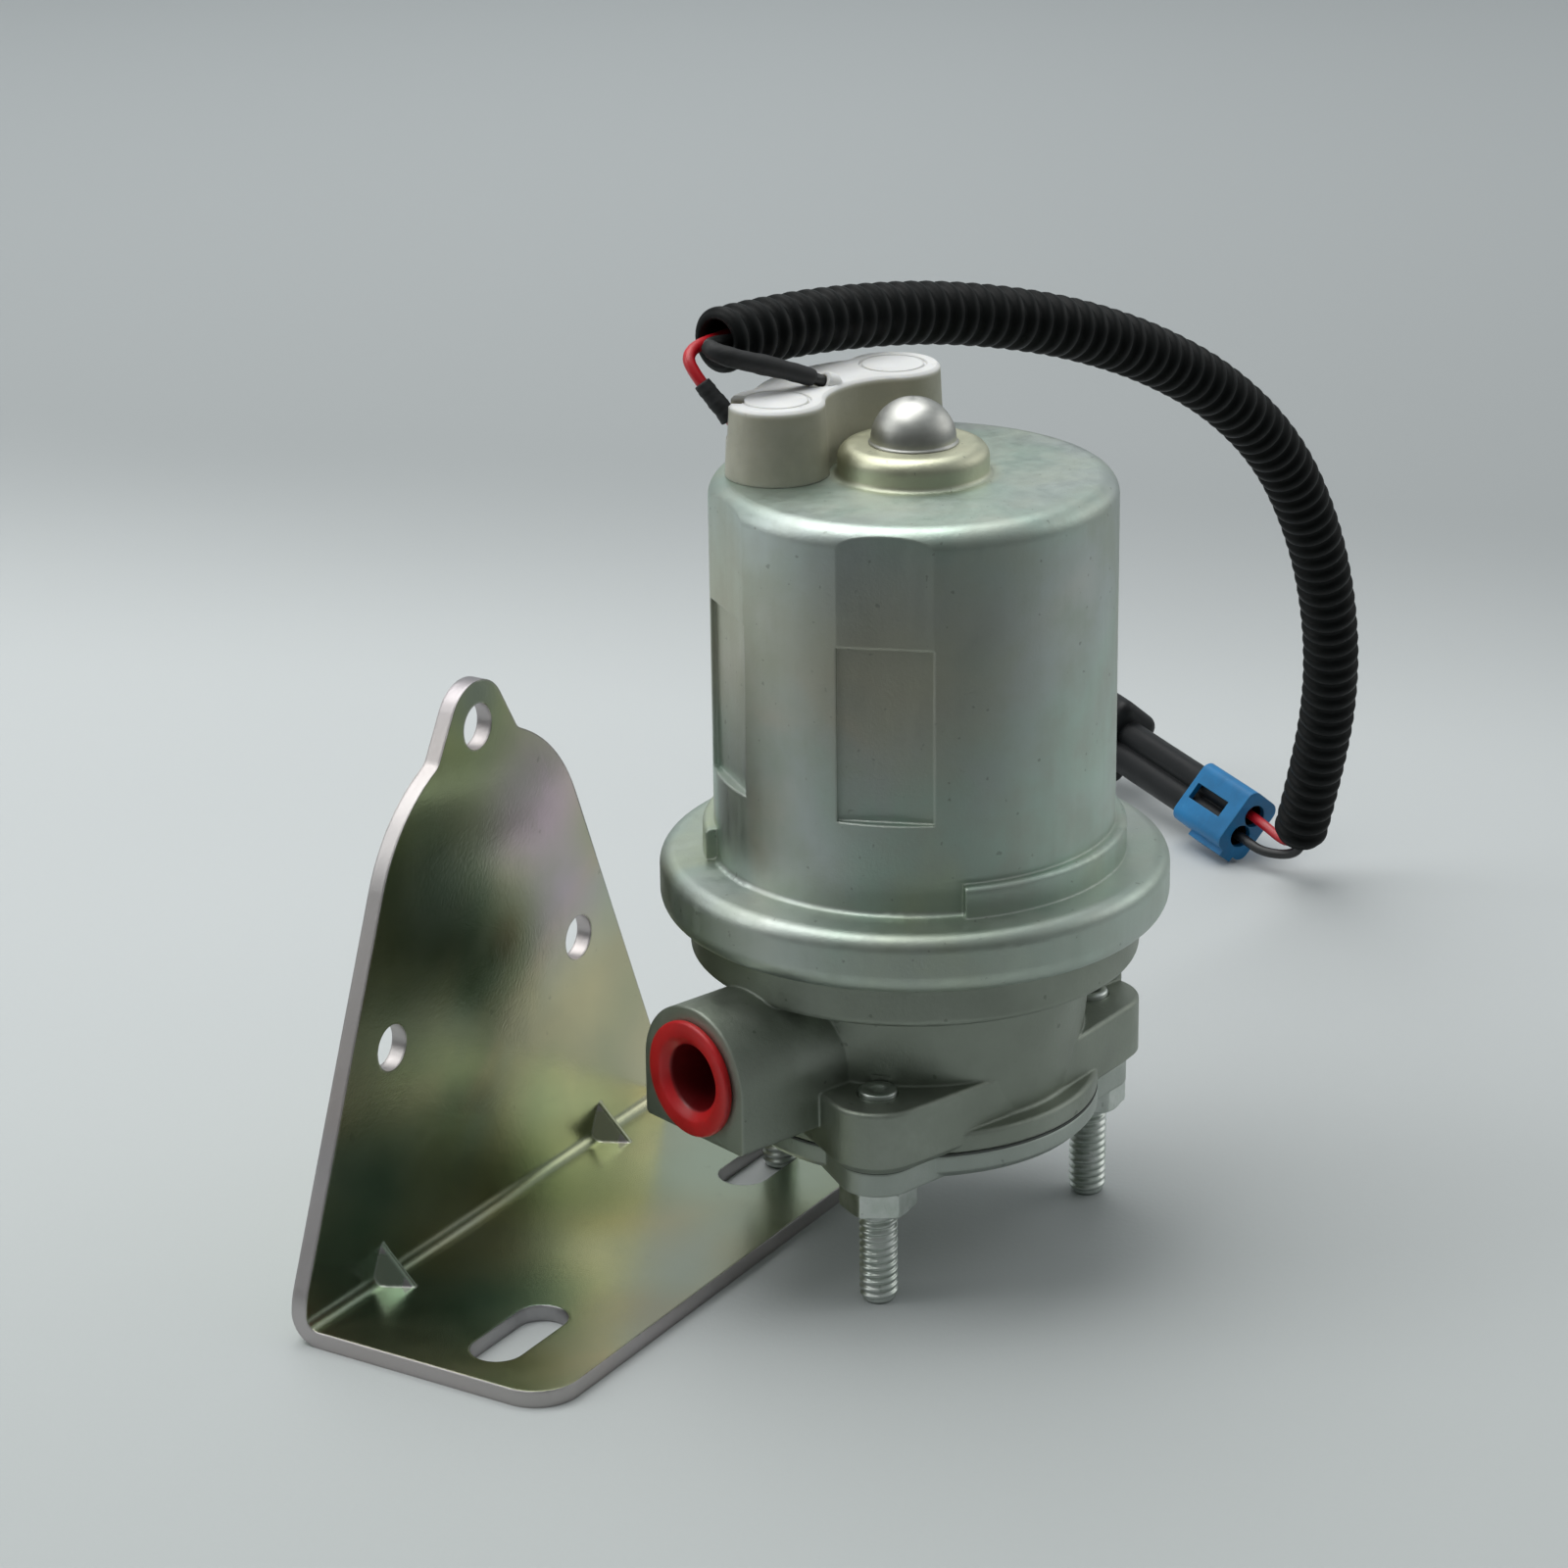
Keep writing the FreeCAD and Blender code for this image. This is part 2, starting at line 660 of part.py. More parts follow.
def pump_body():
    outside = turned([
        (0, BODY_LOW, 0),
        (DISC_RADIUS, BODY_LOW, 0.4),
        (DISC_RADIUS, BODY_LOW + DISC_THICKNESS, 0.7),
        (NECK_LOW_RADIUS, BODY_LOW + DISC_THICKNESS, 0.6),
        (NECK_TOP_RADIUS, STEP_LOW, 2.4),
        (STEP_RADIUS, STEP_LOW, 1.2),
        (STEP_RADIUS, BODY_FLANGE_LOW, 0),
        (BODY_FLANGE_RADIUS, BODY_FLANGE_LOW, BODY_FLANGE_ROUND),
        (BODY_FLANGE_RADIUS, BODY_TOP, BODY_FLANGE_ROUND / 2),
        (0, BODY_TOP, 0),
    ])
    shape = outside.multiFuse(
        [body_lobe(azimuth) for azimuth in STUD_AZIMUTHS]
        + [port_boss(-1, INLET_REACH), port_boss(1, OUTLET_REACH)])
    above = BODY_TOP + 1
    groove = CAN_SEAL_GROOVE_WIDTH / 2
    groove_depth = 2 * CAN_SEAL_SECTION + FACE_GAP
    relief = polar(RELIEF_RADIUS, RELIEF_AZIMUTH)
    relief_spot = (relief.x, relief.y)
    pocket_centre = (0, -ECCENTRICITY)
    cuts = stud_holes(BODY_LOW, STUD_TOP)
    cuts.append(cylinder(OUTER_ROTOR_RADIUS + POCKET_GAP, BODY_LOW - 1, POCKET_ROOF, pocket_centre))
    cuts.append(cylinder(BOWL_RADIUS, BOWL_FLOOR, above))
    cuts.append(cylinder(LOWER_BUSHING_RADIUS + SEAT_GAP, LOWER_BUSHING_LOW, SEAL_LOW))
    cuts.append(cylinder(SHAFT_RADIUS + 10 * RUNNING_GAP, BODY_LOW, above))
    cuts.append(cylinder(SEAL_RADIUS + SEAT_GAP, SEAL_LOW, above))
    cuts.append(tube(CAN_SEAL_RADIUS + groove, CAN_SEAL_RADIUS - groove, BODY_TOP - groove_depth, above))
    cuts.append(along_x(PORT_BORE_RADIUS, -INLET_REACH - 1, -PORT_BORE_END, PORT_AXIS))
    cuts.append(along_x(PORT_BORE_RADIUS, PORT_BORE_END, OUTLET_REACH + 1, PORT_AXIS))
    kidney_roof = POCKET_ROOF + KIDNEY_DEPTH
    middle = (KIDNEY_INNER + KIDNEY_OUTER) / 2
    for side, azimuth in ((-1, 180.0), (1, 0.0)):
        cuts.append(sector(KIDNEY_OUTER, KIDNEY_INNER, POCKET_ROOF - 1, kidney_roof, azimuth, KIDNEY_SPREAD))
        drop = Vector(side * middle, 0, POCKET_ROOF)
        port = Vector(side * (PORT_BORE_END + PORT_DROP_RADIUS), 0, PORT_AXIS)
        cuts.append(Part.makeCylinder(PORT_DROP_RADIUS, (port - drop).Length, drop, port - drop))
    cuts.append(cylinder(RELIEF_BORE_RADIUS, RELIEF_SEAT, above, relief_spot))
    cuts.append(cylinder(RELIEF_SEAT_RADIUS, POCKET_ROOF + SEAT_GAP, RELIEF_SEAT + 1, relief_spot))
    channel = RELIEF_SEAT_RADIUS
    passage = block(middle, RELIEF_RADIUS, -channel, channel, POCKET_ROOF - 1, kidney_roof)
    cuts.append(turn_z(passage, RELIEF_AZIMUTH))
    return shape.cut(cuts)


def port_plug(direction, reach):
    """A pull-out plug: a hollow shank with a wide rim that lies on the port's face."""
    shank = PORT_BORE_RADIUS - PLUG_GAP
    profile = [
        (0, -PLUG_SHANK, 0),
        (shank, -PLUG_SHANK, 0.8),
        (shank, 0, 0),
        (PLUG_RIM_RADIUS, 0, 0.3),
        (PLUG_RIM_RADIUS, PLUG_RIM_THICKNESS, 0.5),
        (PLUG_HOLLOW_RADIUS, PLUG_RIM_THICKNESS, 0.5),
        (PLUG_HOLLOW_RADIUS, PLUG_FLOOR - PLUG_SHANK, 0.5),
        (0, PLUG_FLOOR - PLUG_SHANK, 0),
    ]
    plug = turned(profile)
    plug.rotate(Vector(), Vector(0, 1, 0), 90 * direction)
    plug.translate(Vector(direction * (reach + FACE_GAP), 0, PORT_AXIS))
    return plug


def gear_outline(samples):
    """The inner rotor's outline, traced by the outer rotor's pins."""
    pins = INNER_LOBES + 1
    radius = PIN_RADIUS + GEAR_GAP
    points = []
    for k in range(samples):
        phi = 2 * math.pi * k / samples
        lean = -math.atan2(
            math.sin(INNER_LOBES * phi),
            PIN_CIRCLE_RADIUS / (ECCENTRICITY * pins) - math.cos(INNER_LOBES * phi))
        x = PIN_CIRCLE_RADIUS * math.cos(phi) - radius * math.cos(phi + lean)
        y = -PIN_CIRCLE_RADIUS * math.sin(phi) + radius * math.sin(phi + lean)
        x -= ECCENTRICITY * math.cos(pins * phi)
        y += ECCENTRICITY * math.sin(pins * phi)
        points.append(Vector(x, y, GEAR_LOW))
    return points


def double_flat(radius, flats, low, high):
    half = flats / 2
    return cylinder(radius, low, high).common(block(-radius - 1, radius + 1, -half, half, low, high))


def inner_rotor():
    curve = Part.BSplineCurve()
    curve.interpolate(Points=gear_outline(24 * INNER_LOBES), PeriodicFlag=True)
    face = Part.Face(Part.Wire(curve.toShape()))
    gear = turn_z(face.extrude(Vector(0, 0, GEAR_THICKNESS)), 90)
    bore = double_flat(SHAFT_RADIUS + FLATS_GAP, SHAFT_FLATS + 2 * FLATS_GAP, GEAR_LOW - 1, GEAR_TOP + 1)
    return gear.cut(bore)


def outer_rotor():
    pins = INNER_LOBES + 1
    root = PIN_CIRCLE_RADIUS - PIN_RADIUS + 2 * ECCENTRICITY + GEAR_GAP
    ring = tube(OUTER_ROTOR_RADIUS, root, GEAR_LOW, GEAR_TOP)
    teeth = []
    for k in range(pins):
        spot = polar(PIN_CIRCLE_RADIUS, 90 + 360 * k / pins)
        teeth.append(cylinder(PIN_RADIUS, GEAR_LOW, GEAR_TOP, (spot.x, spot.y)))
    rotor = fuse_all([ring] + teeth)
    rotor.translate(Vector(0, -ECCENTRICITY, 0))
    return rotor


def motor_shaft():
    tail_low = GEAR_LOW + FACE_GAP
    tail = double_flat(SHAFT_RADIUS, SHAFT_FLATS, tail_low, POCKET_ROOF)
    journal = cylinder(SHAFT_RADIUS, POCKET_ROOF, SHAFT_TOP)
    body = cylinder(SHAFT_BODY_RADIUS, BODY_TOP, SHAFT_SHOULDER)
    return fuse_all([tail, journal, body])


def lower_bushing():
    top = LOWER_BUSHING_LOW + LOWER_BUSHING_LENGTH
    return tube(LOWER_BUSHING_RADIUS, BUSHING_BORE, LOWER_BUSHING_LOW + SEAT_GAP, top)


def shaft_seal():
    low = SEAL_LOW + SEAT_GAP
    wall = 1.2
    return turned([
        (BUSHING_BORE, low, 0),
        (SEAL_RADIUS, low, 0),
        (SEAL_RADIUS, low + SEAL_HEIGHT, 0),
        (SEAL_RADIUS - wall, low + SEAL_HEIGHT, 0),
        (SEAL_RADIUS - wall, low + wall, 0.5),
        (SHAFT_RADIUS + 2 * wall, low + wall, 0.5),
        (SHAFT_RADIUS + wall, low + 0.7 * SEAL_HEIGHT, 0),
        (BUSHING_BORE, low + 0.6 * SEAL_HEIGHT, 0),
    ])


def relief_centre():
    spot = polar(RELIEF_RADIUS, RELIEF_AZIMUTH)
    return (spot.x, spot.y)


def relief_ball():
    x, y = relief_centre()
    return Part.makeSphere(RELIEF_BALL_RADIUS, Vector(x, y, RELIEF_BALL_Z))


def relief_spring():
    radius = RELIEF_BALL_RADIUS - RELIEF_WIRE
    dip = math.sqrt(RELIEF_BALL_RADIUS**2 - radius**2)
    low = RELIEF_BALL_Z + dip + SEAT_GAP + RELIEF_WIRE / 2
    return coil(radius, RELIEF_WIRE, RELIEF_TURNS, low, RELIEF_SCREW_LOW - SEAT_GAP, relief_centre())


def relief_screw():
    spot = relief_centre()
    half = RELIEF_SCREW_SLOT / 2
    reach = RELIEF_BORE_RADIUS
    screw = cylinder(reach - SEAT_GAP, RELIEF_SCREW_LOW, BOWL_FLOOR, spot)
    slot = block(-reach, reach, -half, half, BOWL_FLOOR - 1, BOWL_FLOOR + 1)
    slot.translate(Vector(*spot, 0))
    return screw.cut(slot)


def pad_block(distance, width, low, high, azimuth):
    """Everything beyond a distance from the axis, within a pad's width."""
    return turn_z(block(distance, CAN_RADIUS + CAN_WALL, -width / 2, width / 2, low, high), azimuth)


def can_shell():
    inner = CAN_RADIUS - CAN_WALL
    rim_inner = RIM_RADIUS - CAN_WALL
    lip = STEP_RADIUS + LIP_GAP
    boss_inner = BOSS_RADIUS - CAN_WALL
    boss_ceiling = BOSS_TOP - CAN_WALL
    return turned([
        (lip, RIM_LOW, 0.4),
        (RIM_RADIUS, RIM_LOW, RIM_LOW_ROUND),
        (RIM_RADIUS, CAN_FOOT, RIM_TOP_ROUND),
        (CAN_RADIUS, CAN_FOOT, CAN_FOOT_ROUND),
        (CAN_RADIUS, CAN_TOP, CAN_TOP_ROUND),
        (BOSS_RADIUS, CAN_TOP, 0.8),
        (BOSS_RADIUS, BOSS_TOP, BOSS_ROUND),
        (BOSS_HOLE_RADIUS, BOSS_TOP, 0),
        (BOSS_HOLE_RADIUS, boss_ceiling, 0),
        (boss_inner, boss_ceiling, 0.5),
        (boss_inner, CAN_CEILING, 0.5),
        (inner, CAN_CEILING, CAN_TOP_ROUND - CAN_WALL),
        (inner, CAN_FOOT - CAN_WALL, CAN_FOOT_ROUND + CAN_WALL),
        (rim_inner, CAN_FOOT - CAN_WALL, RIM_TOP_ROUND - CAN_WALL),
        (rim_inner, RIM_LOW + CAN_WALL, RIM_LOW_ROUND - CAN_WALL),
        (lip, RIM_LOW + CAN_WALL, 0.4),
    ])


def foot_bead():
    """The raised step round most of the can's foot."""
    inside = CAN_RADIUS - CAN_WALL / 2
    low = CAN_FOOT - CAN_WALL / 4
    top = CAN_FOOT + BEAD_HEIGHT
    corners = [
        (inside, low, 0),
        (BEAD_RADIUS, low, 0),
        (BEAD_RADIUS, top, BEAD_CHAMFER),
        (inside, top, 0),
    ]
    face = rounded_face(corners, lambda r, z: Vector(r, 0, z))
    face.rotate(Vector(), Vector(0, 0, 1), BEAD_START)
    return face.revolve(Vector(), Vector(0, 0, 1), BEAD_END - BEAD_START)


def motor_can():
    inner = CAN_RADIUS - CAN_WALL
    backing = []
    for azimuth in PAD_AZIMUTHS:
        low = PAD_LOW - PAD_LEDGE
        high = PAD_TOP + PAD_LEDGE
        wide = PAD_WIDTH + 2 * CAN_WALL
        strip = pad_block(PAD_INNER_DISTANCE, wide, low, high, azimuth)
        upper = pad_block(PLATE_RADIUS + FACE_GAP, wide, high - 1, CAN_CEILING, azimuth)
        ring = cylinder(inner + CAN_WALL / 2, low, CAN_CEILING)
        backing += [strip.common(ring), upper.common(ring)]
    shell = can_shell().multiFuse([foot_bead()] + backing)
    cuts = []
    for azimuth in PAD_AZIMUTHS:
        cuts.append(pad_block(PAD_FLAT_DISTANCE, 3 * PAD_WIDTH, PAD_TOP, CAN_TOP + 1, azimuth))
        cuts.append(pad_block(PAD_POCKET_DISTANCE, PAD_WIDTH, PAD_LOW, PAD_TOP, azimuth))
    for azimuth in TERMINAL_AZIMUTHS:
        spot = polar(TERMINAL_CIRCLE, azimuth)
        radius = INSULATOR_NECK_RADIUS + FACE_GAP
        cuts.append(cylinder(radius, CAN_CEILING - 1, CAN_TOP + 1, (spot.x, spot.y)))
    return shell.cut(cuts)


def can_seal():
    return Part.makeTorus(CAN_SEAL_RADIUS, CAN_SEAL_SECTION, Vector(0, 0, BODY_TOP - CAN_SEAL_SECTION))


def upper_bushing():
    ball = Part.makeSphere(BALL_BUSHING_RADIUS, Vector(0, 0, BALL_BUSHING_Z))
    low = BALL_BUSHING_Z - BALL_BUSHING_HALF
    high = BOSS_TOP
    return ball.common(tube(BALL_BUSHING_RADIUS, BUSHING_BORE, low, high))


def bushing_retainer():
    low = CAN_CEILING + FACE_GAP
    high = low + RETAINER_THICKNESS
    drop = BALL_BUSHING_Z - high
    hole = math.sqrt(BALL_BUSHING_RADIUS**2 - drop**2) + SEAT_GAP
    return tube(BOSS_RADIUS - CAN_WALL - SEAT_GAP, hole, low, high)


def bearing_cap():
    low = BOSS_TOP + FACE_GAP
    centre = low + CAP_HEIGHT - CAP_DOME_RADIUS
    cone = Part.makeCone(CAP_BASE_RADIUS, CAP_DOME_RADIUS, centre - low, Vector(0, 0, low))
    dome = Part.makeSphere(CAP_DOME_RADIUS, Vector(0, 0, centre))
    above = cylinder(CAP_DOME_RADIUS + 1, centre, centre + CAP_DOME_RADIUS + 1)
    outside = cone.fuse(dome.common(above))
    hollow_radius = CAP_DOME_RADIUS - CAP_WALL
    hollow = Part.makeSphere(hollow_radius, Vector(0, 0, centre))
    return outside.cut([hollow, cylinder(hollow_radius, low - 1, centre)])


def thrust_washer():
    low = SHAFT_SHOULDER + FACE_GAP
    return tube(THRUST_WASHER_RADIUS, BUSHING_BORE, low, low + THRUST_WASHER_THICKNESS)


def magnet(azimuth):
    outer = CAN_RADIUS - CAN_WALL - MAGNET_GAP
    low = CAN_FOOT + MAGNET_START
    return sector(outer, MAGNET_INNER_RADIUS, low, low + MAGNET_LENGTH, azimuth, MAGNET_SPREAD)


def magnet_clips():
    outer = CAN_RADIUS - CAN_WALL - MAGNET_GAP
    low = CAN_FOOT + 2 * MAGNET_START
    high = low + MAGNET_LENGTH - 2 * MAGNET_START
    clips = [sector(outer, outer - CLIP_THICKNESS, low, high, a, CLIP_SPREAD) for a in CLIP_AZIMUTHS]
    return Part.makeCompound(clips)


def slot_bars(width, inner, outer, low, high):
    bar = block(inner, outer, -width / 2, width / 2, low, high)
    return [turn_z(bar.copy(), 360 * k / CORE_SLOTS) for k in range(CORE_SLOTS)]


def armature_core():
    core = tube(CORE_RADIUS, SHAFT_BODY_RADIUS + SEAT_GAP, CORE_LOW, CORE_TOP)
    slots = slot_bars(SLOT_WIDTH, SLOT_INNER, SLOT_OUTER, CORE_LOW - 1, CORE_TOP + 1)
    mouths = slot_bars(SLOT_MOUTH, SLOT_OUTER - 1, CORE_RADIUS + 1, CORE_LOW - 1, CORE_TOP + 1)
    return core.cut(slots + mouths)


def armature_winding():
    low = CORE_LOW - WINDING_OVERHANG
    high = CORE_TOP + WINDING_OVERHANG
    outer = SLOT_OUTER - WINDING_GAP
    width = SLOT_WIDTH - 2 * WINDING_GAP
    bars = slot_bars(width, SLOT_INNER + WINDING_GAP, outer - WINDING_GAP, CORE_LOW - 1, CORE_TOP + 1)
    lower = tube(outer, WINDING_INNER, low, CORE_LOW - WINDING_GAP)
    upper = tube(outer, WINDING_INNER, CORE_TOP + WINDING_GAP, high)
    return fuse_all([lower, upper] + bars)


def commutator():
    disc = tube(COMMUTATOR_RADIUS, SHAFT_BODY_RADIUS + SEAT_GAP, COMMUTATOR_LOW, COMMUTATOR_TOP)
    cut_low = COMMUTATOR_TOP - COMMUTATOR_CUT_DEPTH
    reach = COMMUTATOR_RADIUS + 1
    inner = SHAFT_BODY_RADIUS + 1
    return disc.cut(slot_bars(COMMUTATOR_CUT, inner, reach, cut_low, COMMUTATOR_TOP + 1))


def brush_column(width, length, low, high, azimuth):
    """A rectangular column on the brush circle; length runs along the radius."""
    column = block(BRUSH_CIRCLE - length / 2, BRUSH_CIRCLE + length / 2, -width / 2, width / 2, low, high)
    return turn_z(column, azimuth)


def brush(azimuth):
    return brush_column(BRUSH_WIDTH, BRUSH_LENGTH, BRUSH_LOW, BRUSH_TOP, azimuth)


def brush_spring(azimuth):
    spot = polar(BRUSH_CIRCLE, azimuth)
    low = BRUSH_TOP + FACE_GAP
    return coil(BRUSH_SPRING_RADIUS, BRUSH_WIRE, BRUSH_TURNS, low, BRUSH_SPRING_TOP, (spot.x, spot.y))


def brush_tubes():
    tubes = []
    width = BRUSH_WIDTH + 2 * BRUSH_GAP
    length = BRUSH_LENGTH + 2 * BRUSH_GAP
    walls = 2 * TUBE_WALL
    for azimuth in BRUSH_AZIMUTHS:
        outer = brush_column(width + walls, length + walls, PLATE_LOW, TUBE_TOP, azimuth)
        hollow = brush_column(width, length, PLATE_LOW - 1, TUBE_TOP - TUBE_WALL, azimuth)
        tubes.append(outer.cut(hollow))
    return Part.makeCompound(tubes)


def brush_plate():
    disc = tube(PLATE_RADIUS, PLATE_HOLE_RADIUS, PLATE_LOW, PLATE_TOP)
    around = 2 * (BRUSH_GAP + TUBE_WALL + SEAT_GAP)
    holes = []
    for azimuth in BRUSH_AZIMUTHS:
        width = BRUSH_WIDTH + around
        holes.append(brush_column(width, BRUSH_LENGTH + around, PLATE_LOW - 1, PLATE_TOP + 1, azimuth))
    return disc.cut(holes)


def terminal_spots():
    return [polar(TERMINAL_CIRCLE, azimuth) for azimuth in TERMINAL_AZIMUTHS]


def terminal_posts():
    posts = []
    for spot in terminal_spots():
        low = PLATE_TOP + FACE_GAP
        head = cylinder(POST_HEAD_RADIUS, low, low + POST_HEAD_HEIGHT, (spot.x, spot.y))
        pin = cylinder(POST_RADIUS, low, CAN_TOP + POST_PROUD, (spot.x, spot.y))
        posts.append(head.fuse(pin))
    return Part.makeCompound(posts)


def terminal_insulators():
    """A flanged bush below each hole in the can's top and a washer above it."""
    pieces = []
    hole = POST_RADIUS + FACE_GAP
    ceiling = CAN_CEILING - FACE_GAP
    for spot in terminal_spots():
        centre = (spot.x, spot.y)
        flange = tube(INSULATOR_FLANGE_RADIUS, hole, ceiling - INSULATOR_FLANGE, ceiling, centre)
        neck = tube(INSULATOR_NECK_RADIUS, hole, ceiling - INSULATOR_FLANGE, CAN_TOP, centre)
        washer_low = CAN_TOP + 2 * FACE_GAP
        washer = tube(INSULATOR_FLANGE_RADIUS, hole, washer_low, washer_low + INSULATOR_FLANGE, centre)
        pieces += [flange.fuse(neck), washer]
    return Part.makeCompound(pieces)


def ring_terminals():
    """A ring under each nut, with a tongue out to the wire's end."""
    rings = []
    hole = POST_RADIUS + FACE_GAP
    top = RING_LOW + RING_THICKNESS
    for spot, wire in zip(terminal_spots(), (RED_START, BLACK_START)):
        ring = tube(RING_RADIUS, hole, RING_LOW, top, (spot.x, spot.y))
        azimuth = math.degrees(math.atan2(wire[0][1] - spot.y, wire[0][0] - spot.x))
        tongue = block(hole + WIRE_RADIUS, TONGUE_REACH, -WIRE_RADIUS, WIRE_RADIUS, RING_LOW, top)
        turn_z(tongue, azimuth).translate(spot)
        rings.append(ring.fuse(tongue))
    return Part.makeCompound(rings)


def terminal_nuts():
    nuts = []
    for spot in terminal_spots():
        centre = (spot.x, spot.y)
        nut = hexagon(NUT_FLATS, NUT_LOW, NUT_LOW + NUT_HEIGHT, centre)
        nuts.append(nut.cut(cylinder(POST_RADIUS + SEAT_GAP, NUT_LOW - 1, NUT_LOW + NUT_HEIGHT + 1, centre)))
    return Part.makeCompound(nuts)


def cover_form(shrink, low, high, draft):
    """Two lobes joined by a curved web, all wider at the foot by the draft."""
    outer = WEB_OUTER - shrink
    inner = WEB_INNER + shrink
    profile = [(inner - draft, low), (outer + draft, low), (outer, high), (inner, high)]
    face = Part.Face(Part.makePolygon([Vector(r, 0, z) for r, z in profile + profile[:1]]))
    face.rotate(Vector(), Vector(0, 0, 1), TERMINAL_AZIMUTHS[1])
    web = face.revolve(Vector(), Vector(0, 0, 1), TERMINAL_AZIMUTHS[0] - TERMINAL_AZIMUTHS[1])
    top = LOBE_CAP_RADIUS - shrink
    cone = Part.makeCone(top + draft, top, high - low)
    lobes = [cone.translated(Vector(spot.x, spot.y, low)) for spot in terminal_spots()]
    return fuse_all([web] + lobes)


def terminal_cover():
    shoulder = CAP_TOP - COVER_CHAMFER
    wall = cover_form(0, CAP_LOW, shoulder, COVER_DRAFT)
    outside = wall.fuse(cover_form(COVER_CHAMFER, shoulder, CAP_TOP, COVER_CHAMFER))
    mouth = Vector(*BLACK_START[3])
    way = Vector(*BLACK_START[4]) - mouth
    way.normalize()
    root = mouth - way * HOOD_LENGTH
    hood = Part.makeCylinder(HOOD_RADIUS, HOOD_LENGTH, root, way)
    hood = hood.fuse(Part.makeSphere(HOOD_RADIUS, root))
    around = (-CAN_RADIUS, CAN_RADIUS)
    above = block(*around, *around, CAP_TOP - COVER_WALL / 2, CAP_TOP + COVER_HEIGHT)
    outside = outside.fuse(hood.common(above))
    cuts = [cover_form(COVER_WALL, CAP_LOW - 1, CAP_TOP - COVER_WALL, COVER_DRAFT)]
    for spot in terminal_spots():
        low = CAP_TOP - RECESS_DEPTH
        cuts.append(tube(RECESS_RADIUS, RECESS_RADIUS - RECESS_WIDTH, low, CAP_TOP + 1, (spot.x, spot.y)))
    exit_spot = Vector(*RED_START[1])
    run = Vector(*RED_START[2]) - exit_spot
    azimuth = math.degrees(math.atan2(run.y, run.x))
    half = NOTCH_WIDTH / 2
    notch = block(0, 2 * LOBE_CAP_RADIUS, -half, half, CAP_TOP - NOTCH_DEPTH, CAP_TOP + 1)
    notch = turn_z(notch, azimuth)
    notch.translate(Vector(exit_spot.x, exit_spot.y, 0))
    cuts.append(notch)
    cuts.append(Route(BLACK_START[1:5]).pipe(WIRE_RADIUS + 2 * FACE_GAP))
    cuts.append(Part.makeCylinder(SLEEVE_RADIUS + FACE_GAP, LOBE_CAP_RADIUS, mouth + way * FACE_GAP, way))
    return outside.cut(cuts)


def inside_conduit(side):
    """Route points of the wire that lies along one side of the conduit's bore."""
    offsets = [WIRE_SIDE] * (len(CONDUIT_ROUTE) - 2) + [WIRE_END_SIDE]
    return tuple((x, y + side * offset, z) for (x, y, z), offset in zip(CONDUIT_ROUTE[1:], offsets))


def connector_placement():
    """From the connector's own axes, X along it and Y across its broad side, to its place."""
    roll = FreeCAD.Rotation(Vector(1, 0, 0), CONNECTOR_ROLL)
    tilt = FreeCAD.Rotation(Vector(0, 1, 0), -CONNECTOR_TILT)
    swing = FreeCAD.Rotation(Vector(0, 0, 1), CONNECTOR_AZIMUTH)
    return FreeCAD.Placement(Vector(*CONNECTOR_PLACE), swing * tilt * roll)


def connector_spot(across):
    """The wire's end at the inner face of its seal."""
    return connector_placement().multVec(Vector(SEAL_START + SEAL_LENGTH, across, 0))


def red_points():
    return RED_START + inside_conduit(1) + RED_END + (connector_spot(-BARREL_SIDE),)


def black_points():
    return BLACK_START + inside_conduit(-1) + BLACK_END + (connector_spot(BARREL_SIDE),)


def conduit():
    """Corrugated tube: a ruled loft through four circles a rib, with a plain bore."""
    route = Route(CONDUIT_ROUTE)
    pitch = route.length / CONDUIT_RIBS
    rib_shape = (
        (0.00, CONDUIT_WAIST),
        (0.18, CONDUIT_RADIUS),
        (0.62, CONDUIT_RADIUS),
        (0.80, CONDUIT_WAIST),
    )
    circles = []
    for rib in range(CONDUIT_RIBS):
        circles += [route.circle((rib + share) * pitch, radius) for share, radius in rib_shape]
    circles.append(route.circle(route.length, CONDUIT_WAIST))
    return Part.makeLoft(circles, True, True).cut(route.pipe(CONDUIT_BORE))


def sleeve(points, span):
    route = Route(points)
    return route.part_pipe(span, SLEEVE_RADIUS).cut(route.part_pipe(span, SLEEVE_BORE))


def connector_frame(shape):
    shape.transformShape(connector_placement().toMatrix())
    return shape


def bar(width, thickness, rounding, start, end):
    """A rounded bar along the connector's X axis."""
    w = width / 2
    t = thickness / 2
    corners = [(-w, -t, rounding), (w, -t, rounding), (w, t, rounding), (-w, t, rounding)]
    face = rounded_face(corners, lambda y, z: Vector(start, y, z))
    return face.extrude(Vector(end - start, 0, 0))


def rod(radius, start, end, y=0.0, z=0.0):
    return Part.makeCylinder(radius, end - start, Vector(start, y, z), Vector(1, 0, 0))


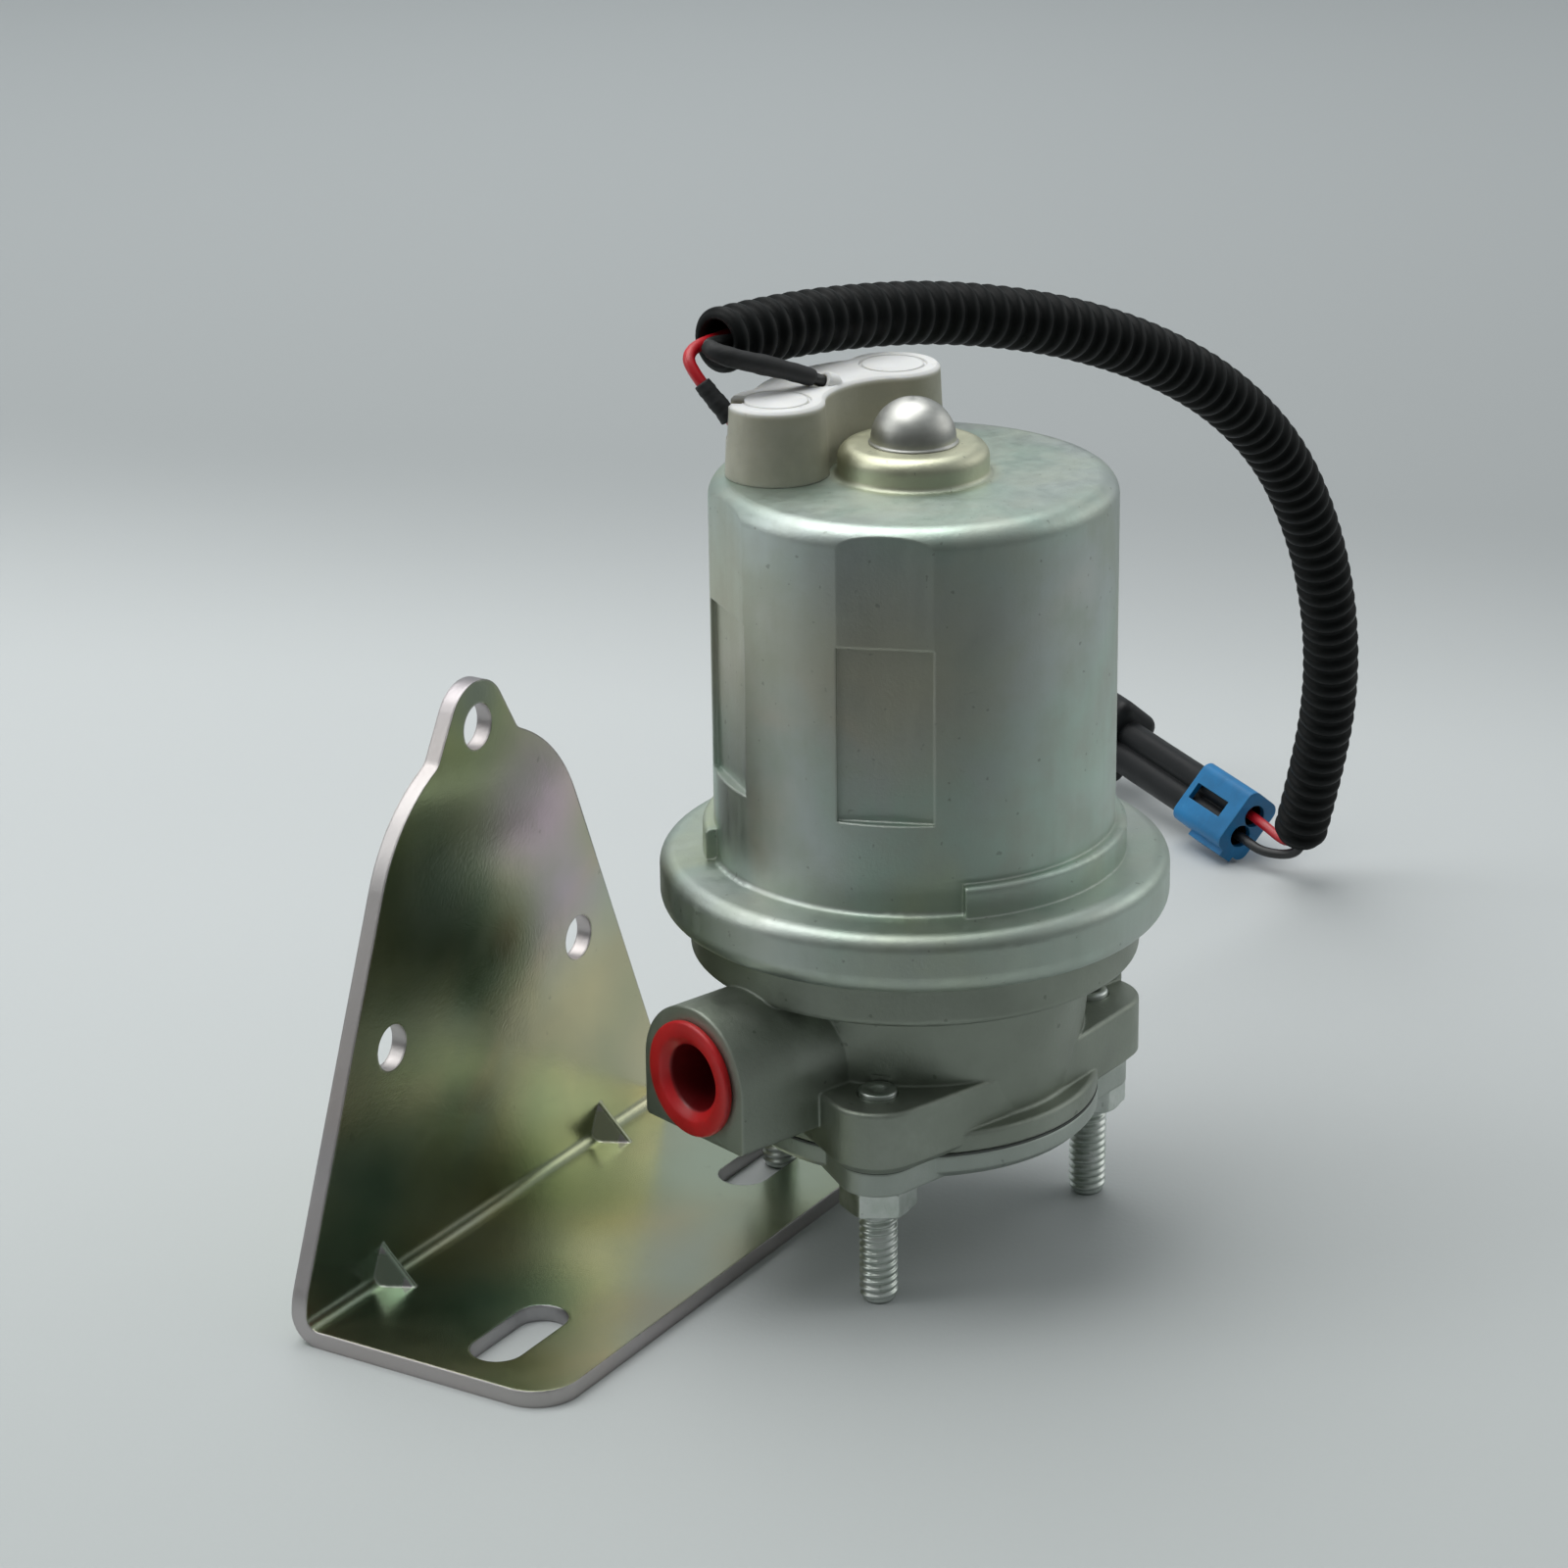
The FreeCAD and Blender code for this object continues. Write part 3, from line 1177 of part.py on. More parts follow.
def connector_body():
    sides = (-BARREL_SIDE, BARREL_SIDE)
    pieces = [rod(BARREL_RADIUS, HOUSING_START, NOSE_START + 1, y) for y in sides]
    half = BARREL_RADIUS / 2
    pieces.append(block(HOUSING_START, NOSE_START + 1, -BARREL_SIDE, BARREL_SIDE, -half, half))
    nose = bar(NOSE_WIDTH, NOSE_THICKNESS, NOSE_ROUND, NOSE_START, HOUSING_LENGTH)
    start_edges = [e for e in nose.Edges if e.BoundBox.XMax < NOSE_START + 1e-6]
    pieces.append(nose.makeFillet(NOSE_ROUND * 0.85, start_edges))
    shape = fuse_all(pieces)
    cavity = TERMINAL_RADIUS + FACE_GAP
    seat = BARREL_RADIUS - 0.7
    cuts = [rod(cavity, 0, HOUSING_LENGTH + 1, y) for y in sides]
    cuts += [rod(seat, HOUSING_START - 1, SEAL_START + SEAL_LENGTH, y) for y in sides]
    return connector_frame(shape.cut(cuts))


def connector_lock():
    outside = bar(LOCK_WIDTH, LOCK_THICKNESS, LOCK_ROUND, 0, LOCK_LENGTH)
    side = LOCK_WIDTH / 2
    lip = block(0, LIP_LENGTH, side - LOCK_WALL, side + LIP_PROUD, -LIP_WIDTH / 2, LIP_WIDTH / 2)
    outside = outside.fuse(lip)
    width = 2 * (BARREL_SIDE + BARREL_RADIUS + LOCK_GAP)
    thickness = 2 * (BARREL_RADIUS + LOCK_GAP)
    hollow = bar(width, thickness, thickness / 2 - 0.1, LOCK_WALL, LOCK_LENGTH + 1)
    window_start = LOCK_LENGTH - LOCK_WALL - WINDOW_LENGTH - 2 * LOCK_GAP
    half = WINDOW_WIDTH / 2
    window = block(window_start, window_start + WINDOW_LENGTH, -half, half, 0, LOCK_THICKNESS)
    entry = [rod(LOCK_ENTRY_RADIUS, -1, LOCK_WALL + 1, y) for y in (-BARREL_SIDE, BARREL_SIDE)]
    return connector_frame(outside.cut([hollow, window] + entry))


def connector_seals():
    rings = []
    for y in (-BARREL_SIDE, BARREL_SIDE):
        outer = rod(BARREL_RADIUS - 0.7 - FACE_GAP, SEAL_START, SEAL_START + SEAL_LENGTH - FACE_GAP, y)
        rings.append(outer.cut(rod(WIRE_RADIUS + 6 * FACE_GAP, SEAL_START - 1, SEAL_START + SEAL_LENGTH, y)))
    return connector_frame(Part.makeCompound(rings))


def connector_terminals():
    end = HOUSING_LENGTH - 2.0
    pins = [rod(TERMINAL_RADIUS, end - TERMINAL_LENGTH, end, y) for y in (-BARREL_SIDE, BARREL_SIDE)]
    return connector_frame(Part.makeCompound(pins))


def bracket_plate_mask():
    half = [
        (BRACKET_HALF, -1, 0),
        (BRACKET_HALF, SIDE_FOOT_HEIGHT, SIDE_FOOT_ROUND),
        (SHOULDER_HALF, SHOULDER_HEIGHT, SHOULDER_ROUND),
        (NECK_HALF, BRACKET_NECK_HEIGHT, NECK_ROUND),
        (EAR_HALF, BRACKET_HEIGHT, EAR_ROUND),
    ]
    corners = half + [(-u, z, r) for u, z, r in reversed(half)]
    face = rounded_face(corners, lambda u, z: Vector(u, -BRACKET_DEPTH - 1, z))
    return face.extrude(Vector(0, BRACKET_DEPTH + 2, 0))


def bracket_section():
    """The bent sheet, before its outline is cut; the upright's back face is at Y = 0."""
    sheet = BRACKET_SHEET
    outer_bend = BRACKET_BEND + sheet
    corners = [
        (0, 0, outer_bend),
        (0, BRACKET_HEIGHT, 0),
        (-sheet, BRACKET_HEIGHT, 0),
        (-sheet, sheet, BRACKET_BEND),
        (-BRACKET_DEPTH, sheet, 0),
        (-BRACKET_DEPTH, 0, 0),
    ]
    face = rounded_face(corners, lambda n, z: Vector(-BRACKET_HALF, n, z))
    return face.extrude(Vector(2 * BRACKET_HALF, 0, 0))


def dart(u):
    """A pressed gusset across the bend."""
    inside = BRACKET_SHEET * 0.8
    tip = BRACKET_SHEET + DART_REACH
    top = Vector(u, -inside, tip)
    toe = Vector(u, -tip, inside)
    left = Vector(u - DART_HALF_WIDTH, -inside, inside)
    right = Vector(u + DART_HALF_WIDTH, -inside, inside)
    faces = [(top, toe, left), (top, right, toe), (top, left, right), (toe, right, left)]
    solid = Part.Solid(Part.Shell([Part.Face(Part.makePolygon(list(f) + [f[0]])) for f in faces]))
    ridge = [e for e in solid.Edges if abs(e.CenterOfMass.x - u) < 1e-6]
    return solid.makeFillet(DART_ROUND, ridge)


def bracket_slot(u):
    travel = SLOT_END_TO_END / 2 - SLOT_HALF_WIDTH
    ends = [cylinder(SLOT_HALF_WIDTH, -1, BRACKET_SHEET + 1, (u + s * travel, -SLOT_LINE)) for s in (-1, 1)]
    low = -SLOT_LINE - SLOT_HALF_WIDTH
    high = -SLOT_LINE + SLOT_HALF_WIDTH
    return ends + [block(u - travel, u + travel, low, high, -1, BRACKET_SHEET + 1)]


def bracket_place(shape):
    """Stands the bracket so that the first stud is in its second slot."""
    shape.rotate(Vector(), Vector(0, 0, 1), BRACKET_AZIMUTH)
    in_slot = Vector(SLOT_HALF_SPACING + STUD_ALONG_SLOT, -SLOT_LINE, 0)
    turn = FreeCAD.Rotation(Vector(0, 0, 1), BRACKET_AZIMUTH)
    shape.translate(stud_places()[0] - turn.multVec(in_slot))
    return shape


def mounting_bracket():
    corner = BRACKET_CORNER
    base = prism([
        (-BRACKET_HALF, 1, 0),
        (-BRACKET_HALF, -BRACKET_DEPTH, corner),
        (BRACKET_HALF, -BRACKET_DEPTH, corner),
        (BRACKET_HALF, 1, 0),
    ], -1, BRACKET_HEIGHT + 1)
    shape = bracket_section().common(bracket_plate_mask()).common(base)
    shape = shape.multiFuse([dart(u) for u in (-DART_HALF_SPACING, DART_HALF_SPACING)])
    cuts = []
    for k in range(3):
        spot = polar(STUD_CIRCLE_RADIUS, 90 + 120 * k)
        start = Vector(spot.x, 1, PLATE_CIRCLE_HEIGHT + spot.y)
        cuts.append(Part.makeCylinder(PLATE_HOLE, BRACKET_SHEET + 2, start, Vector(0, -1, 0)))
    for u in (-SLOT_HALF_SPACING, SLOT_HALF_SPACING):
        cuts += bracket_slot(u)
    return bracket_place(shape.cut(cuts))


def nodes():
    made = {
        "mounting_studs": mounting_studs(),
        "bottom_cover": bottom_cover(),
        "body_gasket": body_gasket(),
        "pump_body": pump_body(),
        "inlet_plug": port_plug(-1, INLET_REACH),
        "outlet_plug": port_plug(1, OUTLET_REACH),
        "inner_rotor": inner_rotor(),
        "outer_rotor": outer_rotor(),
        "motor_shaft": motor_shaft(),
        "lower_bushing": lower_bushing(),
        "shaft_seal": shaft_seal(),
        "relief_ball": relief_ball(),
        "relief_spring": relief_spring(),
        "relief_screw": relief_screw(),
        "motor_can": motor_can(),
        "can_seal": can_seal(),
        "upper_bushing": upper_bushing(),
        "bushing_retainer": bushing_retainer(),
        "bearing_cap": bearing_cap(),
        "thrust_washer": thrust_washer(),
        "magnet_a": magnet(MAGNET_AZIMUTHS[0]),
        "magnet_b": magnet(MAGNET_AZIMUTHS[1]),
        "magnet_clips": magnet_clips(),
        "armature_core": armature_core(),
        "armature_winding": armature_winding(),
        "commutator": commutator(),
        "brush_a": brush(BRUSH_AZIMUTHS[0]),
        "brush_b": brush(BRUSH_AZIMUTHS[1]),
        "brush_spring_a": brush_spring(BRUSH_AZIMUTHS[0]),
        "brush_spring_b": brush_spring(BRUSH_AZIMUTHS[1]),
        "brush_tubes": brush_tubes(),
        "brush_plate": brush_plate(),
        "terminal_posts": terminal_posts(),
        "terminal_insulators": terminal_insulators(),
        "ring_terminals": ring_terminals(),
        "terminal_nuts": terminal_nuts(),
        "terminal_cover": terminal_cover(),
        "conduit": conduit(),
        "wire_red": Route(red_points()).pipe(WIRE_RADIUS),
        "wire_black": Route(black_points()).pipe(WIRE_RADIUS),
        "sleeve_red": sleeve(red_points(), RED_SLEEVE_SPAN),
        "sleeve_black": sleeve(black_points(), BLACK_SLEEVE_SPAN),
        "connector_body": connector_body(),
        "connector_lock": connector_lock(),
        "connector_seals": connector_seals(),
        "connector_terminals": connector_terminals(),
        "mounting_bracket": mounting_bracket(),
    }
    return made


def main():
    os.makedirs("parts", exist_ok=True)
    Route(CONDUIT_ROUTE).report("conduit", CONDUIT_RADIUS)
    Route(red_points()).report("red wire", WIRE_RADIUS)
    Route(black_points()).report("black wire", WIRE_RADIUS)
    for name, shape in nodes().items():
        shape.exportStep(f"parts/{name}.step")
        solids = len(shape.Solids)
        print(f"{name}: {solids} solid(s), volume {shape.Volume:.1f}, valid {shape.isValid()}")


main()
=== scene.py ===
import json
import math

import bpy
from mathutils import Matrix, Vector

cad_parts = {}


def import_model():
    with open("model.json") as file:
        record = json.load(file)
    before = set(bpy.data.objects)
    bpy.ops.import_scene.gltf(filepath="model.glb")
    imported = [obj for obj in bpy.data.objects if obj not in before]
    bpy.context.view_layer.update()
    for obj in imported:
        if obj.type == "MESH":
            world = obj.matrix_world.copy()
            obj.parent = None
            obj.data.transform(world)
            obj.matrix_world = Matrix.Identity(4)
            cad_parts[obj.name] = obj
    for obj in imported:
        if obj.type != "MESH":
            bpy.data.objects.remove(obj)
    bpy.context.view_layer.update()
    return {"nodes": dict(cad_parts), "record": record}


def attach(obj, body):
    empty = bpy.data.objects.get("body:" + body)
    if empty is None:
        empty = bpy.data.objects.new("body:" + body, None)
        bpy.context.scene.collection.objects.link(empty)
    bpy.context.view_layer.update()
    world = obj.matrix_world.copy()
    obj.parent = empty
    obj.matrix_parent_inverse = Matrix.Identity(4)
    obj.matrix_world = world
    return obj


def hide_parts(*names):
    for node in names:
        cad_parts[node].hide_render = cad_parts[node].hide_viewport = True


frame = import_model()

MM = 0.001
TURN = 2 * math.pi
RECORD = {entry["slot"]: entry for entry in frame["record"]["materials"]}
SLOT_OF = {entry["node"]: entry["material_slot"] for entry in frame["record"]["subparts"]}

# Where the paints change on the object, in metres: each pair is the start and end of a soft border

CAN_TOP = (0.1305, 0.1325)
CAN_FOOT = (0.066, 0.074)
CAN_BOSS = (0.0120, 0.0150)
# Height where the cover's painted light on its tops takes over from the painted shade on its sides
COVER_LIT_TOP = (0.1425, 0.1436)
BASE_TOP = (0.0075, 0.0085)
UPRIGHT_DEPTH = (0.0559, 0.0569)
PORT_HEIGHT = 0.04045
PLUG_HOLLOW = (0.0055, 0.0059)
PAD_RADIUS = 0.0313
PAD_HEIGHT = 0.106
PAD_AZIMUTHS = (-141, -21, 39, 159)
PAD_REACH = 0.026
BEND_X, BEND_Y = 0.9548, 0.2974
PLATE_X, PLATE_Y = -0.0542, 0.0501


def plate_point(along, height, out=0.0):
    """A place on the bracket: metres along its bend, up, and out from the upright over the base."""
    return (PLATE_X + BEND_X * along + BEND_Y * out, PLATE_Y + BEND_Y * along - BEND_X * out, height)


PAD_SPOTS = [
    (PAD_RADIUS * math.cos(math.radians(azimuth)), PAD_RADIUS * math.sin(math.radians(azimuth)), PAD_HEIGHT)
    for azimuth in PAD_AZIMUTHS
]
# Each patch: its centre, its reach in metres, its strength and its colour
BRACKET_PATCHES = [
    (plate_point(0.000, 0.084), 0.016, 0.65, (0.46, 0.48, 0.29)),
    (plate_point(0.000, 0.095), 0.010, 0.80, (0.34, 0.34, 0.35)),
    (plate_point(0.016, 0.070), 0.024, 0.85, (0.62, 0.48, 0.58)),
    (plate_point(0.023, 0.050), 0.017, 0.75, (0.56, 0.45, 0.58)),
    (plate_point(0.006, 0.056), 0.013, 0.55, (0.50, 0.50, 0.30)),
    (plate_point(-0.013, 0.063), 0.022, 0.75, (0.20, 0.29, 0.25)),
    (plate_point(0.026, 0.032), 0.023, 0.75, (0.66, 0.60, 0.36)),
    (plate_point(0.006, 0.050), 0.008, 0.60, (0.40, 0.27, 0.15)),
    (plate_point(-0.034, 0.016), 0.024, 0.85, (0.17, 0.31, 0.25)),
    (plate_point(-0.014, 0.020), 0.016, 0.60, (0.20, 0.30, 0.18)),
    (plate_point(0.036, 0.003, 0.030), 0.034, 0.95, (0.50, 0.58, 0.45)),
    (plate_point(0.016, 0.003, 0.042), 0.016, 0.60, (0.46, 0.53, 0.41)),
    (plate_point(0.006, 0.003, 0.014), 0.022, 0.85, (0.22, 0.27, 0.15)),
    (plate_point(-0.030, 0.003, 0.024), 0.026, 0.85, (0.17, 0.34, 0.28)),
    (plate_point(-0.020, 0.003, 0.046), 0.014, 0.60, (0.42, 0.38, 0.28)),
]


# Materials

METALS = ("brushed_steel", "chrome", "aluminium", "brass", "cast_iron")
CLASS_ROUGHNESS = {"chrome": 0.15, "rubber": 0.75, "brass": 0.32, "aluminium": 0.42}
PLAIN_ROUGHNESS = 0.4
# Most of a noise's values lie between these two
NOISE_LOW, NOISE_HIGH = 0.3, 0.7
# The factor and the two colours among a Mix node's inputs, and the colour among its outputs
MIX_INPUTS = (0, 6, 7)
MIX_OUTPUT = 2
EDGE_GAIN = 6.0
BEVEL_SAMPLES = 4
WANDER_SCALE = 22
WANDER_SHARE = 0.9
BLOB_CORE = 0.1


class Paint:
    """One procedural material: a Principled shader and the nodes that feed it."""

    def __init__(self, name, rough, metal=0.0):
        self.material = bpy.data.materials.new(name)
        self.material.use_nodes = True
        self.tree = self.material.node_tree
        self.shader = self.tree.nodes["Principled BSDF"]
        self.shader.inputs["Roughness"].default_value = rough
        self.shader.inputs["Metallic"].default_value = metal
        self.place = self.node("ShaderNodeTexCoord").outputs["Object"]

    def node(self, kind, **settings):
        made = self.tree.nodes.new(kind)
        for name, value in settings.items():
            setattr(made, name, value)
        return made

    def link(self, source, target):
        if isinstance(source, bpy.types.NodeSocket):
            self.tree.links.new(source, target)
        else:
            target.default_value = source

    def stretched(self, stretch):
        mapping = self.node("ShaderNodeMapping")
        self.link(self.place, mapping.inputs["Vector"])
        mapping.inputs["Scale"].default_value = stretch
        return mapping.outputs["Vector"]

    def noise(self, scale, detail=3.0, rough=0.55, stretch=None, distortion=0.0):
        made = self.node("ShaderNodeTexNoise")
        self.link(self.stretched(stretch) if stretch else self.place, made.inputs["Vector"])
        made.inputs["Scale"].default_value = scale
        made.inputs["Detail"].default_value = detail
        made.inputs["Roughness"].default_value = rough
        made.inputs["Distortion"].default_value = distortion
        return made.outputs["Fac"]

    def ramp(self, factor, stops):
        made = self.node("ShaderNodeValToRGB")
        made.color_ramp.interpolation = "EASE"
        elements = made.color_ramp.elements
        while len(elements) < len(stops):
            elements.new(0.5)
        for element, (at, colour) in zip(elements, stops):
            element.position = at
            element.color = (*colour, 1.0)
        self.link(factor, made.inputs["Fac"])
        return made.outputs["Color"]

    def drift(self, noise, first, second):
        """Wanders between two colours with a noise."""
        return self.ramp(noise, [(NOISE_LOW, first), (NOISE_HIGH, second)])

    def mask(self, factor, low, high):
        """0 below low, 1 above high."""
        made = self.node("ShaderNodeMapRange", interpolation_type="SMOOTHSTEP")
        self.link(factor, made.inputs["Value"])
        made.inputs["From Min"].default_value = low
        made.inputs["From Max"].default_value = high
        return made.outputs["Result"]

    def below(self, factor, low, high):
        """1 below low, 0 above high."""
        return self.inverse(self.mask(factor, low, high))

    def spread(self, noise, low, high):
        """Maps a noise's usual values to low and high."""
        made = self.node("ShaderNodeMapRange")
        self.link(noise, made.inputs["Value"])
        made.inputs["From Min"].default_value = NOISE_LOW
        made.inputs["From Max"].default_value = NOISE_HIGH
        made.inputs["To Min"].default_value = low
        made.inputs["To Max"].default_value = high
        return made.outputs["Result"]

    def mix(self, factor, first, second):
        made = self.node("ShaderNodeMix", data_type="RGBA")
        for index, value in zip(MIX_INPUTS, (factor, first, second)):
            if isinstance(value, tuple):
                value = (*value, 1.0)
            self.link(value, made.inputs[index])
        return made.outputs[MIX_OUTPUT]

    def over(self, base, colour, where, strength):
        """Lays a colour over the base, at the given strength where the mask is 1."""
        return self.mix(self.times(where, strength), base, colour)

    def math(self, operation, first, second=0.0):
        made = self.node("ShaderNodeMath", operation=operation)
        self.link(first, made.inputs[0])
        self.link(second, made.inputs[1])
        return made.outputs[0]

    def times(self, first, second):
        return self.math("MULTIPLY", first, second)

    def plus(self, first, second):
        return self.math("ADD", first, second)

    def minus(self, first, second):
        return self.math("SUBTRACT", first, second)

    def inverse(self, factor):
        return self.minus(1.0, factor)

    def squares(self, first, second):
        return self.plus(self.times(first, first), self.times(second, second))

    def toward(self, x, y, direction):
        """How far x, y reaches along a level direction."""
        return self.plus(self.times(x, direction[0]), self.times(y, direction[1]))

    def split(self, vector):
        made = self.node("ShaderNodeSeparateXYZ")
        self.link(vector, made.inputs[0])
        return made.outputs

    def axes(self):
        """The place on the object, as x, y and z."""
        return self.split(self.place)

    def facing(self):
        """The way the surface faces, as x, y and z."""
        return self.split(self.node("ShaderNodeTexCoord").outputs["Normal"])

    def blob(self, centre, reach):
        """1 near a point of the object, fading to 0 at the reach, with a wandering edge."""
        made = self.node("ShaderNodeVectorMath", operation="DISTANCE")
        self.link(self.place, made.inputs[0])
        made.inputs[1].default_value = centre
        wander = self.minus(self.noise(WANDER_SCALE, 2.0, 0.5), 0.5)
        distance = self.plus(made.outputs["Value"], self.times(wander, reach * WANDER_SHARE))
        return self.below(distance, reach * BLOB_CORE, reach)

    def edges(self, radius):
        """A mask of sharp edges, from how far a rounded normal leans from the true one, and that normal."""
        soft = self.node("ShaderNodeBevel", samples=BEVEL_SAMPLES)
        soft.inputs["Radius"].default_value = radius
        true = self.node("ShaderNodeNewGeometry")
        made = self.node("ShaderNodeVectorMath", operation="DOT_PRODUCT")
        self.link(soft.outputs[0], made.inputs[0])
        self.link(true.outputs["Normal"], made.inputs[1])
        lean = self.times(self.inverse(made.outputs["Value"]), EDGE_GAIN)
        return self.math("MINIMUM", lean, 1.0), soft.outputs[0]

    def bump(self, height, depth, normal=None):
        made = self.node("ShaderNodeBump")
        made.inputs["Strength"].default_value = 1.0
        made.inputs["Distance"].default_value = depth
        self.link(height, made.inputs["Height"])
        if normal is not None:
            self.link(normal, made.inputs["Normal"])
        self.link(made.outputs[0], self.shader.inputs["Normal"])

    def colour(self, source):
        self.link(source, self.shader.inputs["Base Color"])

    def rough(self, source):
        self.link(source, self.shader.inputs["Roughness"])

    def set(self, **values):
        for name, value in values.items():
            self.shader.inputs[name.replace("_", " ")].default_value = value


def shade(colour, factor):
    return tuple(min(1.0, c * factor) for c in colour)


def generic(slot):
    """A plain procedural finish from a slot's recorded class and colour."""
    entry = RECORD[slot]
    colour = tuple(entry["base_color"][:3])
    rough = CLASS_ROUGHNESS.get(entry["class"], PLAIN_ROUGHNESS)
    paint = Paint(slot, rough, 1.0 if entry["class"] in METALS else 0.0)
    cloud = paint.noise(180, 4)
    grain = paint.noise(2600, 2)
    edge, soft = paint.edges(0.0003)
    base = paint.drift(cloud, shade(colour, 0.82), shade(colour, 1.15))
    paint.colour(paint.over(base, shade(colour, 1.5), edge, 0.5))
    paint.rough(paint.spread(cloud, rough - 0.06, rough + 0.1))
    paint.bump(grain, 0.00002, soft)
    return paint.material


def can_zinc():
    """Satin zinc plate over drawn steel, with a faint yellow to blue cast."""
    paint = Paint("can_zinc", 0.36, 1.0)
    tint = paint.noise(19, 3, 0.5, distortion=0.6)
    cloud = paint.noise(90, 5, 0.6)
    drawn = paint.noise(420, 3, 0.6, stretch=(1.0, 1.0, 0.12))
    grain = paint.noise(1900, 3, 0.7)
    edge, soft = paint.edges(0.0006)
    base = paint.ramp(tint, [
        (0.30, (0.54, 0.60, 0.44)),
        (0.45, (0.46, 0.57, 0.50)),
        (0.58, (0.50, 0.55, 0.53)),
        (0.72, (0.58, 0.54, 0.47)),
    ])
    base = paint.mix(paint.mask(cloud, 0.35, 0.75), base, (0.47, 0.52, 0.46))
    x, y, height = paint.axes()
    top = paint.mask(height, *CAN_TOP)
    boss = paint.below(paint.math("SQRT", paint.squares(x, y)), *CAN_BOSS)
    base = paint.over(base, (0.64, 0.62, 0.45), paint.times(top, boss), 0.75)
    base = paint.over(base, (0.44, 0.49, 0.44), paint.below(height, *CAN_FOOT), 0.55)
    for spot in PAD_SPOTS:
        base = paint.over(base, (0.50, 0.47, 0.36), paint.blob(spot, PAD_REACH), 0.7)
    specks = paint.mask(paint.noise(700, 2, 0.4), 0.72, 0.76)
    base = paint.over(base, (0.16, 0.16, 0.14), specks, 0.4)
    paint.colour(paint.over(base, (0.74, 0.75, 0.70), edge, 0.35))
    paint.rough(paint.plus(paint.spread(cloud, 0.40, 0.52), paint.spread(drawn, -0.04, 0.05)))
    paint.bump(paint.plus(grain, paint.times(drawn, 0.8)), 0.000035, soft)
    return paint.material


def die_cast(name, colour, light):
    """Cast alloy, plated satin, with a fine pebble and soft edges."""
    paint = Paint(name, 0.46, 0.9)
    cloud = paint.noise(60, 4, 0.6)
    pebble = paint.noise(1500, 4, 0.75)
    swell = paint.noise(240, 3, 0.6)
    edge, soft = paint.edges(0.0007)
    base = paint.ramp(cloud, [(0.28, shade(colour, 0.84)), (0.52, colour), (0.75, light)])
    pits = paint.mask(paint.noise(430, 2, 0.3), 0.735, 0.76)
    base = paint.over(base, shade(colour, 0.4), pits, 0.45)
    paint.colour(paint.over(base, shade(light, 1.35), edge, 0.4))
    paint.rough(paint.spread(swell, 0.40, 0.54))
    paint.bump(paint.plus(pebble, paint.times(swell, 1.2)), 0.00006, soft)
    return paint.material


def bright_steel():
    """Satin steel, brushed round its axis."""
    paint = Paint("bright_steel", 0.3, 1.0)
    cloud = paint.noise(220, 4)
    spun = paint.noise(1100, 3, 0.5, stretch=(0.12, 0.12, 1.0))
    edge, soft = paint.edges(0.0004)
    base = paint.drift(cloud, (0.48, 0.48, 0.45), (0.58, 0.58, 0.55))
    paint.colour(paint.over(base, (0.70, 0.70, 0.68), edge, 0.3))
    paint.rough(paint.spread(spun, 0.36, 0.46))
    paint.set(Anisotropic=0.5)
    paint.bump(spun, 0.000014, soft)
    return paint.material


def ivory_plastic():
    """Ivory moulding with a little translucency; its tops are painted much lighter than its sides, painted
    light on the tops and painted shade on the sides.
    """
    paint = Paint("ivory_plastic", 0.42)
    cloud = paint.noise(120, 4)
    grain = paint.noise(1600, 3, 0.6)
    edge, soft = paint.edges(0.0005)
    # Painted shade and light: a dark shaded copy of the ivory for the sides, a lit near-white copy for the
    # tops
    side = paint.drift(cloud, (0.38, 0.37, 0.29), (0.47, 0.46, 0.37))
    top = paint.drift(cloud, (0.84, 0.84, 0.82), (0.90, 0.90, 0.88))
    _, _, height = paint.axes()
    base = paint.mix(paint.mask(height, *COVER_LIT_TOP), side, top)
    dirt = paint.mask(paint.noise(340, 4, 0.7), 0.62, 0.72)
    base = paint.over(base, (0.32, 0.30, 0.24), dirt, 0.25)
    paint.colour(paint.over(base, (0.78, 0.77, 0.73), edge, 0.3))
    paint.rough(paint.spread(cloud, 0.38, 0.52))
    paint.set(Subsurface_Weight=0.25, Subsurface_Radius=(0.004, 0.0035, 0.0025), Subsurface_Scale=1.0)
    paint.bump(grain, 0.000025, soft)
    return paint.material


def sheet_face(paint):
    """1 on the bracket's broad faces, 0 on its cut edges and hole walls."""
    inward = (-BEND_Y, BEND_X)
    face_x, face_y, face_z = paint.facing()
    x, y, height = paint.axes()
    behind = paint.mask(paint.toward(x, y, inward), *UPRIGHT_DEPTH)
    upright = paint.times(paint.toward(face_x, face_y, inward), behind)
    level = paint.times(face_z, paint.below(height, *BASE_TOP))
    return paint.mask(paint.squares(upright, level), 0.15, 0.35)


